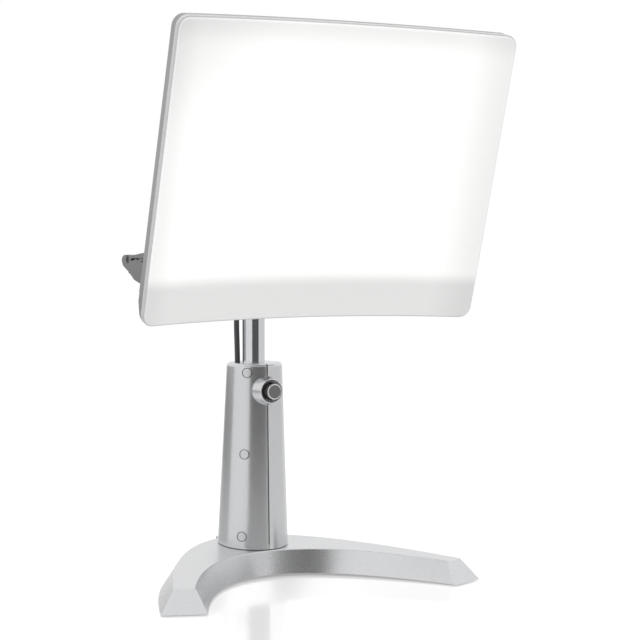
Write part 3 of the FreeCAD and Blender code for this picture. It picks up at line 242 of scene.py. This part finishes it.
@dataclass(frozen=True)
class OpalFinish:
    """The lit diffuser: opal plastic that glows from behind, less towards its edges; the weak glow of the
    band at its foot is painted light, since that band is unlit.

    Attributes:
        name: The material's name.
        tilt: How far the head leans, in degrees.
        centre: The middle of the face in metres.
        half_width: Half the face's width in metres.
        half_height: Half the face's height in metres.
        edge: How far the left and upper edges' fades reach in; the right one's reaches twice as far.
        foot: Height of the unlit band at the foot, which is given a weak glow as painted light.
        foot_reach: How far that band fades upwards.
        corner_reach: How far the fade of the upper left corner reaches, as width and height together.
        left: Share of the glow left at the left edge.
        right: Share left at the right edge.
        top: Share left at the upper edge.
        painted_foot_glow: Share of the glow left in the band at the foot; that band is unlit, so this glow
            is painted light.
        corner: Share left at the upper left corner.
        strength: Strength of the full glow.
        light: Linear colour of the glow.
        plastic: Linear base colour of the plastic.
        roughness: Roughness of its surface.
    """

    name: str = "opal_diffuser"
    tilt: float = 16.46
    centre: Place = (0.0, -0.172, 0.456)
    half_width: float = 0.2034
    half_height: float = 0.1609
    edge: float = 0.03
    foot: float = 0.036
    foot_reach: float = 0.018
    corner_reach: float = 0.15
    left: float = 0.84
    right: float = 0.76
    top: float = 0.78
    painted_foot_glow: float = 0.60
    corner: float = 0.72
    strength: float = 0.64
    light: Colour = (1.0, 0.995, 0.985)
    plastic: Colour = (0.60, 0.60, 0.60)
    roughness: float = 0.38

    def material(self) -> bpy.types.Material:
        """Make the node material.

        Returns:
            The material.
        """
        made = bpy.data.materials.new(self.name)
        sheet = NodeSheet(made)
        sheet.feed(sheet.node("Principled BSDF"), {
            "Base Color": (*self.plastic, 1.0),
            "Roughness": self.roughness,
            "Emission Color": (*self.light, 1.0),
            "Emission Strength": self._glow(sheet),
        })
        return made

    def _glow(self, sheet: NodeSheet) -> bpy.types.NodeSocket:
        """The glow's strength over the face, in the face's own upright axes."""
        place = sheet.add("ShaderNodeTexCoord").outputs["Object"]
        centred = sheet.add("ShaderNodeVectorMath", {0: place, 1: self.centre})
        centred.operation = "SUBTRACT"
        upright = sheet.add("ShaderNodeMapping", {
            "Vector": centred.outputs["Vector"], "Rotation": (math.radians(-self.tilt), 0.0, 0.0)})
        axes = sheet.add("ShaderNodeSeparateXYZ", {"Vector": upright.outputs["Vector"]})
        across = axes.outputs["X"]
        upwards = axes.outputs["Z"]
        to_corner = sheet.calculate("SUBTRACT", upwards, across)
        side = self.half_width
        top = self.half_height
        band = -top + self.foot
        shares = [
            self._fade(sheet, across, -side, -side + self.edge, self.left),
            self._fade(sheet, across, side, side - 2.0 * self.edge, self.right),
            self._fade(sheet, upwards, top, top - self.edge, self.top),
            # Painted light: the unlit foot band keeps a weak glow that stands in for the light falling on
            # it.
            self._fade(sheet, upwards, band, band + self.foot_reach, self.painted_foot_glow),
            self._fade(sheet, to_corner, side + top, side + top - self.corner_reach, self.corner),
        ]
        glow = shares[0]
        for share in shares[1:]:
            glow = sheet.calculate("MULTIPLY", glow, share)
        return sheet.calculate("MULTIPLY", glow, self.strength)

    @staticmethod
    def _fade(sheet: NodeSheet, source: bpy.types.NodeSocket, start: float, end: float,
              low: float) -> bpy.types.NodeSocket:
        """A smooth step between two places, from low up to 1."""
        step = sheet.add("ShaderNodeMapRange")
        step.interpolation_type = "SMOOTHSTEP"
        sheet.feed(step, {
            "Value": source, "From Min": start, "From Max": end, "To Min": low, "To Max": 1.0})
        return step.outputs["Result"]


SILVER_BASE = Finish("silver_base", (0.72, 0.725, 0.735), 0.28, 0.9, relief=0.000004)
SILVER_COLUMN = Finish("silver_column", (0.70, 0.705, 0.715), 0.25, 0.95, relief=0.000004)
WHITE_RIM = Finish("white_rim", (0.80, 0.80, 0.80), 0.30, grain=Grain.SMOOTH)
SILVER_SHELL = Finish("silver_shell", (0.36, 0.36, 0.365), 0.32, 0.85, relief=0.000006)
BUTTON_GREY = Finish("button_grey", (0.24, 0.24, 0.245), 0.32, 0.9, relief=0.000006)
PLUG_GREY = Finish("plug_grey", (0.68, 0.69, 0.70), 0.3, 0.9, relief=0.000006)
# Paler than the silver and steel that these rims edge: the bright lines on the collar and the button are
# partly painted highlight.
HIGHLIGHT_RIM = Finish("rim_with_painted_highlight", (0.90, 0.90, 0.90), 0.2, 0.8, grain=Grain.SMOOTH, mottle=0.01)
# Black for the beads of painted shade in the column's seam; it also draws the dark lines round the plugs.
SEAM_BLACK = Finish("seam_black", (0.03, 0.03, 0.032), 0.6)
MAST_CHROME = Finish("mast_chrome", (0.80, 0.81, 0.83), 0.09, 1.0, grain=Grain.SMOOTH, mottle=0.01)
BRIGHT_STEEL = Finish("bright_steel", (0.55, 0.55, 0.56), 0.3, 1.0, grain=Grain.BRUSHED, relief=0.00001)
DARK_SCREW = Finish("dark_screw", (0.09, 0.09, 0.095), 0.35, 0.9, grain=Grain.BRUSHED, relief=0.00001)
DARK_GREY = Finish("dark_grey", (0.060, 0.063, 0.072), 0.45, 0.0, scale=1300.0)
DARK_METAL = Finish("dark_metal", (0.20, 0.20, 0.21), 0.3, 0.9, grain=Grain.BRUSHED, relief=0.00001)
EAR_METAL = Finish("ear_metal", (0.21, 0.21, 0.215), 0.28, 0.9, relief=0.00001)
BLACK_SHEET = Finish("black_sheet", (0.02, 0.02, 0.022), 0.5, 0.2)
CAST_IRON = Finish("cast_iron", (0.05, 0.05, 0.055), 0.7, 0.7, grain=Grain.CAST, relief=0.0002, scale=400.0)
RUBBER = Finish("black_rubber", (0.018, 0.018, 0.018), 0.75)
LEAD_JACKET = Finish("lead_jacket", (0.075, 0.077, 0.083), 0.42, coat=0.05)
BLACK_PLASTIC = Finish("black_plastic", (0.016, 0.016, 0.018), 0.42)
ROCKER_BLACK = Finish("rocker_black", (0.014, 0.014, 0.016), 0.2, coat=0.4, grain=Grain.SMOOTH)
WHITE_PLASTIC = Finish("white_plastic", (0.78, 0.78, 0.77), 0.5)
TRAY_METAL = Finish("tray_metal", (0.78, 0.79, 0.80), 0.45, 0.3)
GREEN_BOARD = Finish("green_board", (0.02, 0.11, 0.04), 0.35, coat=0.3)
PHOSPHOR = Finish("phosphor", (0.86, 0.72, 0.24), 0.4)


@dataclass
class Dressing:
    """Puts finishes on nodes that keep their own shape.

    Attributes:
        finishes: Each node's finish.
        lit: The finish of the diffuser.
    """

    finishes: dict[str, Finish] = field(default_factory=lambda: {
        "base_cover": SILVER_BASE, "base_plate": BLACK_SHEET, "base_weight": CAST_IRON,
        "rubber_feet": RUBBER, "base_screws": BRIGHT_STEEL, "mast_socket": BRIGHT_STEEL,
        "flange_bolts": BRIGHT_STEEL, "column_shell_left": SILVER_COLUMN,
        "column_shell_right": SILVER_COLUMN, "column_screw_plugs": PLUG_GREY,
        "column_screws": BRIGHT_STEEL, "power_inlet": BLACK_PLASTIC, "lead_slack": LEAD_JACKET,
        "lead_rise": LEAD_JACKET, "lever_pin": BRIGHT_STEEL, "lever_holders": BRIGHT_STEEL,
        "release_button": BUTTON_GREY, "latch_lever": BRIGHT_STEEL, "mast_tube": MAST_CHROME,
        "mast_plug": BLACK_PLASTIC, "yoke_hub": DARK_GREY, "yoke": DARK_METAL,
        "yoke_screws": BRIGHT_STEEL, "pivot_screws": DARK_SCREW, "friction_washers": BLACK_PLASTIC,
        "pivot_nuts": BRIGHT_STEEL, "lead": LEAD_JACKET, "bezel": WHITE_RIM,
        "inner_frame": WHITE_PLASTIC, "led_tray": TRAY_METAL, "led_strips": WHITE_PLASTIC,
        "leds": PHOSPHOR, "head_back_shell": SILVER_SHELL, "head_screws": DARK_SCREW,
        "driver_housing": DARK_GREY, "driver_board": GREEN_BOARD, "board_standoffs": WHITE_PLASTIC,
        "switch_body": BLACK_PLASTIC, "lead_tail": LEAD_JACKET, "cable_gland": RUBBER,
        "tilt_ear_left": EAR_METAL, "tilt_ear_right": EAR_METAL, "rocker": ROCKER_BLACK,
    })
    lit: OpalFinish = field(default_factory=OpalFinish)

    def dress(self) -> int:
        """Put each finish on its node.

        Returns:
            How many nodes were dressed.
        """
        for name, finish in self.finishes.items():
            self._wear(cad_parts[name], finish.material())
        self._wear(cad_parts["diffuser"], self.lit.material())
        return len(self.finishes) + 1

    @staticmethod
    def _wear(piece: bpy.types.Object, material: bpy.types.Material) -> None:
        """Give every slot of the piece one material."""
        if not piece.material_slots:
            piece.data.materials.append(material)
        for slot in piece.material_slots:
            slot.material = material


@dataclass(frozen=True)
class FineRings:
    """Round trim in mesh: a bead bent round an axis, for rims and for the joint lines round the plugs.

    Attributes:
        turns: Steps round the ring.
        sides: Sides of the bead's section.
        weld: Share of the bead's radius within which points are welded.
    """

    turns: int = 72
    sides: int = 12
    weld: float = 0.01

    def ring(self, name: str, centre: Vector, axis: Vector, radius: float, bead: float, finish: Finish,
             body: str, slot: str) -> bpy.types.Object:
        """Model one ring by spinning its round section.

        Args:
            name: The piece's name.
            centre: The ring's middle in metres.
            axis: The direction of its axis.
            radius: From the axis to the middle of the bead.
            bead: The bead's radius.
            finish: Its finish.
            body: The body that it rides on.
            slot: Not used.

        Returns:
            The ring's object.
        """
        bpy.ops.object.select_all(action="DESELECT")
        bpy.ops.mesh.primitive_circle_add(vertices=self.sides, radius=bead, location=(radius, 0.0, 0.0),
                                          rotation=(math.radians(90.0), 0.0, 0.0))
        piece = bpy.context.object
        piece.name = name
        bpy.ops.object.transform_apply(location=True, rotation=True, scale=True)
        bpy.ops.object.mode_set(mode="EDIT")
        bpy.ops.mesh.select_all(action="SELECT")
        bpy.ops.mesh.spin(steps=self.turns, angle=math.tau, center=(0.0, 0.0, 0.0), axis=(0.0, 0.0, 1.0))
        bpy.ops.mesh.select_all(action="SELECT")
        bpy.ops.mesh.remove_doubles(threshold=bead * self.weld)
        bpy.ops.mesh.normals_make_consistent(inside=False)
        bpy.ops.object.mode_set(mode="OBJECT")
        bpy.ops.object.shade_smooth()
        stand = axis.normalized().to_track_quat("Z", "Y").to_matrix().to_4x4()
        piece.data.transform(Matrix.Translation(centre) @ stand)
        piece.data.materials.append(finish.material())
        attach(piece, body)
        return piece


@dataclass
class ButtonTrim:
    """Rims on the release button and on its collar, in metres; they are real rounded edges, and their
    finish, paler than the parts round them, paints part of the highlight on them.

    Attributes:
        axis_z: Height of the button's axis.
        button_face_y: The button's face.
        button_radius: The button's radius.
        chamfer: The chamfer round its face.
        button_back: How far behind the face the rim's middle lies, as a share of the chamfer.
        button_inset: How far inside the edge it lies, as a share of the chamfer.
        button_bead: The rim's own radius.
        collar_face_y: The collar's front face.
        collar_radius: The collar's radius at its face.
        collar_sunk: How far behind the face the collar's rim has its middle.
        collar_inset: How far inside the collar's edge it lies.
        collar_bead: The collar rim's own radius.
        rings: The maker of the rings.
    """

    axis_z: float = BUTTON_Z
    button_face_y: float = -0.0510
    button_radius: float = 0.0088
    chamfer: float = 0.0012
    button_back: float = 0.55
    button_inset: float = 0.6
    button_bead: float = 0.00075
    collar_face_y: float = -0.0433
    collar_radius: float = 0.0140
    collar_sunk: float = 0.0001
    collar_inset: float = 0.0005
    collar_bead: float = 0.0006
    rings: FineRings = field(default_factory=FineRings)

    def build(self) -> list[bpy.types.Object]:
        """Model both rims.

        Returns:
            The pieces.
        """
        button_y = self.button_face_y + self.chamfer * self.button_back
        button_radius = self.button_radius - self.chamfer * self.button_inset
        collar_y = self.collar_face_y + self.collar_sunk
        collar_radius = self.collar_radius - self.collar_inset
        # Both rims wear the pale finish that paints part of their highlight.
        return [
            self.rings.ring("button_rim", Vector((0.0, button_y, self.axis_z)), FRONT, button_radius,
                            self.button_bead, HIGHLIGHT_RIM, "button", "bright_steel"),
            self.rings.ring("collar_rim", Vector((0.0, collar_y, self.axis_z)), FRONT, collar_radius,
                            self.collar_bead, HIGHLIGHT_RIM, "base", "silver_column"),
        ]


@dataclass
class PlugTrim:
    """Dark lines in the joints round the screw plugs, in metres.

    Attributes:
        plug_radius: The plugs' radius.
        gap: From the plug's edge to the line's middle.
        sunk: How far behind the plug's face the line's middle lies.
        bead: The line's own radius.
        weld: How close two of the mesh's points are to be welded.
        least_left: How far to the left a face's normal points, where it belongs to a plug's outer face.
        most_upright: How far upwards or downwards that normal may point.
        rings: The maker of the rings.
    """

    plug_radius: float = 0.0052
    gap: float = 0.00018
    sunk: float = 0.0001
    bead: float = 0.00040
    weld: float = 0.00001
    least_left: float = 0.5
    most_upright: float = 0.2
    rings: FineRings = field(default_factory=FineRings)

    def build(self) -> list[bpy.types.Object]:
        """Model a line round each plug, where the plug's own mesh says that it sits.

        Returns:
            The pieces.
        """
        whole = bmesh.new()
        whole.from_mesh(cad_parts["column_screw_plugs"].data)
        bmesh.ops.remove_doubles(whole, verts=whole.verts, dist=self.weld)
        lines = []
        seen: set[bmesh.types.BMVert] = set()
        for seed in whole.verts:
            if seed in seen:
                continue
            plug = self._joined(seed)
            seen |= plug
            lines.append(self._line("plug_line_%d" % len(lines), self._cap(whole, plug)))
        whole.free()
        return lines

    def _cap(self, whole: bmesh.types.BMesh, plug: set[bmesh.types.BMVert]) -> list[bmesh.types.BMFace]:
        """The faces of one plug's outer side."""
        return [face for face in whole.faces
                if face.verts[0] in plug
                and face.normal.x < -self.least_left
                and abs(face.normal.z) < self.most_upright]

    def _line(self, name: str, cap: list[bmesh.types.BMFace]) -> bpy.types.Object:
        """The line round one plug, square to the outer side's mean normal."""
        area = sum(face.calc_area() for face in cap)
        middle = sum((face.calc_center_median() * face.calc_area() for face in cap), Vector()) / area
        normal = sum((face.normal * face.calc_area() for face in cap), Vector()).normalized()
        return self.rings.ring(name, middle - normal * self.sunk, normal, self.plug_radius + self.gap,
                               self.bead, SEAM_BLACK, "base", "black_plastic")

    @staticmethod
    def _joined(seed: bmesh.types.BMVert) -> set[bmesh.types.BMVert]:
        """All the vertices that edges join to one."""
        found = {seed}
        border = [seed]
        while border:
            for edge in border.pop().link_edges:
                for vert in edge.verts:
                    if vert not in found:
                        found.add(vert)
                        border.append(vert)
        return found


@dataclass(frozen=True)
class SeamTrim:
    """Thin dark beads in the joint of the column's halves, below and above the collar, in metres; they are
    painted shade, put where the joint holds only shadow.

    Attributes:
        low: Height of the seam's lower end.
        high: Height of its upper end.
        low_y: The column's front at the lower end.
        high_y: The column's front at the upper end.
        collar_z: Height of the collar's axis.
        collar_reach: From that axis to the beads.
        half_width: Half a bead's width.
        depth: A bead's depth.
        sunk: How far behind the column's front its middle lies.
        edge_round: Radius of its edges.
        edge_steps: Steps round its edges.
        smooth_angle: Edges up to this angle are shaded smooth, in degrees.
    """

    low: float = 0.0372
    high: float = 0.2432
    low_y: float = -0.03715
    high_y: float = -0.03302
    collar_z: float = BUTTON_Z
    collar_reach: float = 0.0176
    half_width: float = 0.00065
    depth: float = 0.0022
    sunk: float = 0.0008
    edge_round: float = 0.0003
    edge_steps: int = 2
    smooth_angle: float = 40.0

    def build(self) -> list[bpy.types.Object]:
        """Model both beads.

        Returns:
            The pieces.
        """
        return [
            self._bead("column_seam_shade_low", self.low, self.collar_z - self.collar_reach),
            self._bead("column_seam_shade_high", self.collar_z + self.collar_reach, self.high),
        ]

    def _bead(self, name: str, low: float, high: float) -> bpy.types.Object:
        """One bead between two heights, leaning as the column's front does."""
        bpy.ops.object.select_all(action="DESELECT")
        bpy.ops.mesh.primitive_cube_add(size=1.0, location=(0.0, 0.0, 0.5))
        bead = bpy.context.object
        bead.name = name
        bpy.ops.object.transform_apply(location=True, rotation=True, scale=True)
        bpy.ops.object.mode_set(mode="EDIT")
        bpy.ops.mesh.select_all(action="SELECT")
        bpy.ops.transform.resize(value=(2.0 * self.half_width, self.depth, high - low),
                                 center_override=(0.0, 0.0, 0.0))
        bpy.ops.mesh.bevel(offset=self.edge_round, segments=self.edge_steps, affect="EDGES")
        bpy.ops.object.mode_set(mode="OBJECT")
        slope = (self.high_y - self.low_y) / (self.high - self.low)
        foot_y = self.low_y + slope * (low - self.low) + self.sunk
        # A shear: each height moves back by the slope, and the ends stay level.
        lean = Matrix.Identity(4)
        lean[1][2] = slope
        bead.data.transform(Matrix.Translation((0.0, foot_y, low)) @ lean)
        bpy.ops.object.shade_smooth_by_angle(angle=math.radians(self.smooth_angle))
        # Painted shade: the black bead stands in for the shadow inside the joint of the column's halves.
        bead.data.materials.append(SEAM_BLACK.material())
        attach(bead, "base")
        return bead


@dataclass(frozen=True)
class Camera:
    """The camera at the photograph's place.

    Attributes:
        place: Where it stands, in metres.
        ahead: The direction that it looks in.
        above: The direction that is up in the picture.
        focal_pixels: Focal length in pixels of the picture.
        picture_pixels: The picture's width in pixels.
        sensor: The sensor's width in millimetres.
        far: How far it sees, in metres.
    """

    place: Place = (-1.00727, -1.89050, 0.40365)
    ahead: Place = (0.50084, 0.86399, -0.05181)
    above: Place = (0.02598, 0.04483, 0.99866)
    focal_pixels: float = 1859.0
    picture_pixels: float = 640.0
    sensor: float = 36.0
    far: float = 60.0

    def build(self) -> bpy.types.Object:
        """Set the camera up.

        Returns:
            The camera's object.
        """
        lens = bpy.data.cameras.new("camera")
        lens.sensor_fit = "HORIZONTAL"
        lens.sensor_width = self.sensor
        lens.lens = self.focal_pixels * self.sensor / self.picture_pixels
        lens.clip_end = self.far
        camera = bpy.data.objects.new("camera", lens)
        bpy.context.scene.collection.objects.link(camera)
        back = -Vector(self.ahead).normalized()
        up = Vector(self.above).normalized()
        right = up.cross(back).normalized()
        up = back.cross(right)
        turn = Matrix((right, up, back)).transposed().to_4x4()
        camera.matrix_world = Matrix.Translation(self.place) @ turn
        bpy.context.scene.camera = camera
        return camera


@dataclass(frozen=True)
class Card:
    """A card beside the camera's view, seen only in what the object and the floor mirror.

    Attributes:
        name: The card's name.
        bearing: Its direction from the mast, in degrees from the camera's towards the camera's right.
        distance: Its distance from the mast in metres.
        width: Its width in metres.
        height: Its height in metres.
        centre_z: The height of its middle in metres.
        glow: The light that it gives to reflections.
    """

    name: str
    bearing: float
    distance: float
    width: float
    height: float
    centre_z: float
    glow: float

    def build(self) -> bpy.types.Object:
        """Make the card, upright and facing the mast.

        Returns:
            The card's object.
        """
        ahead = Vector(Camera().ahead)
        angle = math.atan2(-ahead.y, -ahead.x) + math.radians(self.bearing)
        outwards = Vector((math.cos(angle), math.sin(angle), 0.0))
        place = outwards * self.distance
        place.z = self.centre_z
        facing = (-outwards).to_track_quat("Z", "Y").to_matrix().to_4x4()
        size = Matrix.Diagonal((self.width, self.height, 1.0, 1.0))
        bpy.ops.object.select_all(action="DESELECT")
        bpy.ops.mesh.primitive_plane_add(size=1.0, location=(0.0, 0.0, 0.0))
        card = bpy.context.object
        card.name = self.name
        card.data.transform(Matrix.Translation(place) @ facing @ size)
        card.visible_camera = False
        card.visible_diffuse = False
        card.visible_shadow = False
        felt = bpy.data.materials.new(self.name)
        sheet = NodeSheet(felt)
        sheet.feed(sheet.node("Principled BSDF"), {
            "Base Color": BLACK,
            "Specular IOR Level": 0.0,
            "Emission Color": WHITE,
            "Emission Strength": self.glow,
        })
        card.data.materials.append(felt)
        return card


@dataclass(frozen=True)
class SoftLight:
    """A square soft light that looks at the object and isn't mirrored.

    Attributes:
        name: The light's name.
        place: Where it hangs, in metres.
        size: Its width and height in metres.
        power: Its power in watts.
        aim: The place that it looks at.
    """

    name: str
    place: Place
    size: float
    power: float
    aim: Place = (0.0, 0.0, 0.3)

    def build(self) -> bpy.types.Object:
        """Make the light.

        Returns:
            The light's object.
        """
        light = bpy.data.lights.new(self.name, "AREA")
        light.shape = "SQUARE"
        light.size = self.size
        light.energy = self.power
        lamp = bpy.data.objects.new(self.name, light)
        lamp.visible_glossy = False
        bpy.context.scene.collection.objects.link(lamp)
        turn = (Vector(self.aim) - Vector(self.place)).to_track_quat("-Z", "Y")
        lamp.matrix_world = Matrix.Translation(self.place) @ turn.to_matrix().to_4x4()
        return lamp


@dataclass(frozen=True)
class Floor:
    """A pale floor that shows white to the camera apart from the object's shadow and mirrored foot.

    Attributes:
        size: Its width in metres.
        colour: Its linear colour.
        roughness: Roughness of its dull part.
        seen_glow: The light that it gives to the camera.
        mirrored_glow: The light that it gives to reflections.
        mirror: The share of its surface that mirrors.
        mirror_roughness: Roughness of that share.
    """

    size: float = 14.0
    colour: Colour = (0.86, 0.86, 0.86)
    roughness: float = 0.8
    seen_glow: float = 0.74
    mirrored_glow: float = 0.2
    mirror: float = 0.5
    mirror_roughness: float = 0.11

    def build(self) -> bpy.types.Object:
        """Make the floor.

        Returns:
            The floor's object.
        """
        bpy.ops.object.select_all(action="DESELECT")
        bpy.ops.mesh.primitive_plane_add(size=self.size, location=(0.0, 0.0, 0.0))
        floor = bpy.context.object
        floor.name = "floor"
        floor.data.materials.append(self._paint())
        return floor

    def _paint(self) -> bpy.types.Material:
        """The floor's material."""
        paint = bpy.data.materials.new("floor_paint")
        sheet = NodeSheet(paint)
        ray = sheet.add("ShaderNodeLightPath").outputs
        mirrored = sheet.calculate("MULTIPLY", ray["Is Glossy Ray"], self.mirrored_glow)
        glow = sheet.calculate("MULTIPLY_ADD", ray["Is Camera Ray"], self.seen_glow, mirrored)
        dull = sheet.node("Principled BSDF")
        sheet.feed(dull, {
            "Base Color": (*self.colour, 1.0),
            "Roughness": self.roughness,
            "Specular IOR Level": 0.0,
            "Emission Color": WHITE,
            "Emission Strength": glow,
        })
        gloss = sheet.add("ShaderNodeBsdfGlossy", {"Color": WHITE, "Roughness": self.mirror_roughness})
        mix = sheet.add("ShaderNodeMixShader", {
            "Fac": self.mirror, 1: dull.outputs["BSDF"], 2: gloss.outputs["BSDF"]})
        sheet.feed(sheet.node("Material Output"), {"Surface": mix.outputs["Shader"]})
        return paint


@dataclass(frozen=True)
class Surroundings:
    """The world: white to the camera, bright to reflections, plain soft light to the rest.

    Attributes:
        seen_glow: The light that it gives to the camera.
        mirrored_glow: The light that it gives to reflections.
        soft_glow: The light that it gives to everything else.
    """

    seen_glow: float = 1.0
    mirrored_glow: float = 0.95
    soft_glow: float = 0.42

    def build(self) -> bpy.types.World:
        """Make the world.

        Returns:
            The world.
        """
        world = bpy.data.worlds.new("studio")
        bpy.context.scene.world = world
        sheet = NodeSheet(world)
        soft = sheet.node("Background")
        sheet.feed(soft, {"Color": WHITE, "Strength": self.soft_glow})
        ray = sheet.add("ShaderNodeLightPath").outputs
        shown = soft.outputs["Background"]
        for kind, glow in (("Is Glossy Ray", self.mirrored_glow), ("Is Camera Ray", self.seen_glow)):
            plain = sheet.add("ShaderNodeBackground", {"Color": WHITE, "Strength": glow})
            mix = sheet.add("ShaderNodeMixShader", {
                "Fac": ray[kind], 1: shown, 2: plain.outputs["Background"]})
            shown = mix.outputs["Shader"]
        sheet.feed(sheet.node("World Output"), {"Surface": shown})
        return world


@dataclass
class Studio:
    """Everything round the object.

    Attributes:
        floor: The floor.
        world: The world.
        cards: The cards that the object mirrors.
        lights: The soft lights.
    """

    floor: Floor = field(default_factory=Floor)
    world: Surroundings = field(default_factory=Surroundings)
    cards: tuple[Card, ...] = (
        Card("card_front", bearing=22.0, distance=1.15, width=1.55, height=0.62, centre_z=0.31, glow=0.10),
        Card("card_right", bearing=100.0, distance=1.25, width=2.0, height=0.30, centre_z=0.15, glow=0.70),
        Card("card_left", bearing=-117.0, distance=1.2, width=1.5, height=0.24, centre_z=0.12, glow=0.30),
    )
    lights: tuple[SoftLight, ...] = (
        SoftLight("key", (-1.7, -1.2, 2.2), size=1.4, power=15.0),
        SoftLight("fill", (2.2, -1.6, 1.5), size=1.6, power=12.0),
        SoftLight("top", (0.2, 0.5, 2.7), size=1.8, power=15.0),
    )

    def build(self) -> None:
        """Make the floor, the world, the cards and the lights."""
        self.floor.build()
        self.world.build()
        for card in self.cards:
            card.build()
        for light in self.lights:
            light.build()


def main() -> None:
    """Build the scene in order and report each piece."""
    logging.basicConfig(level=logging.INFO, format="%(message)s")
    bpy.context.scene.view_settings.view_transform = "Standard"
    Camera().build()
    Studio().build()
    LOG.info("dressed %d nodes", Dressing().dress())
    for trim in (ButtonTrim(), PlugTrim(), SeamTrim()):
        for piece in trim.build():
            LOG.info("built %s", piece.name)


if __name__ == "__main__":
    main()
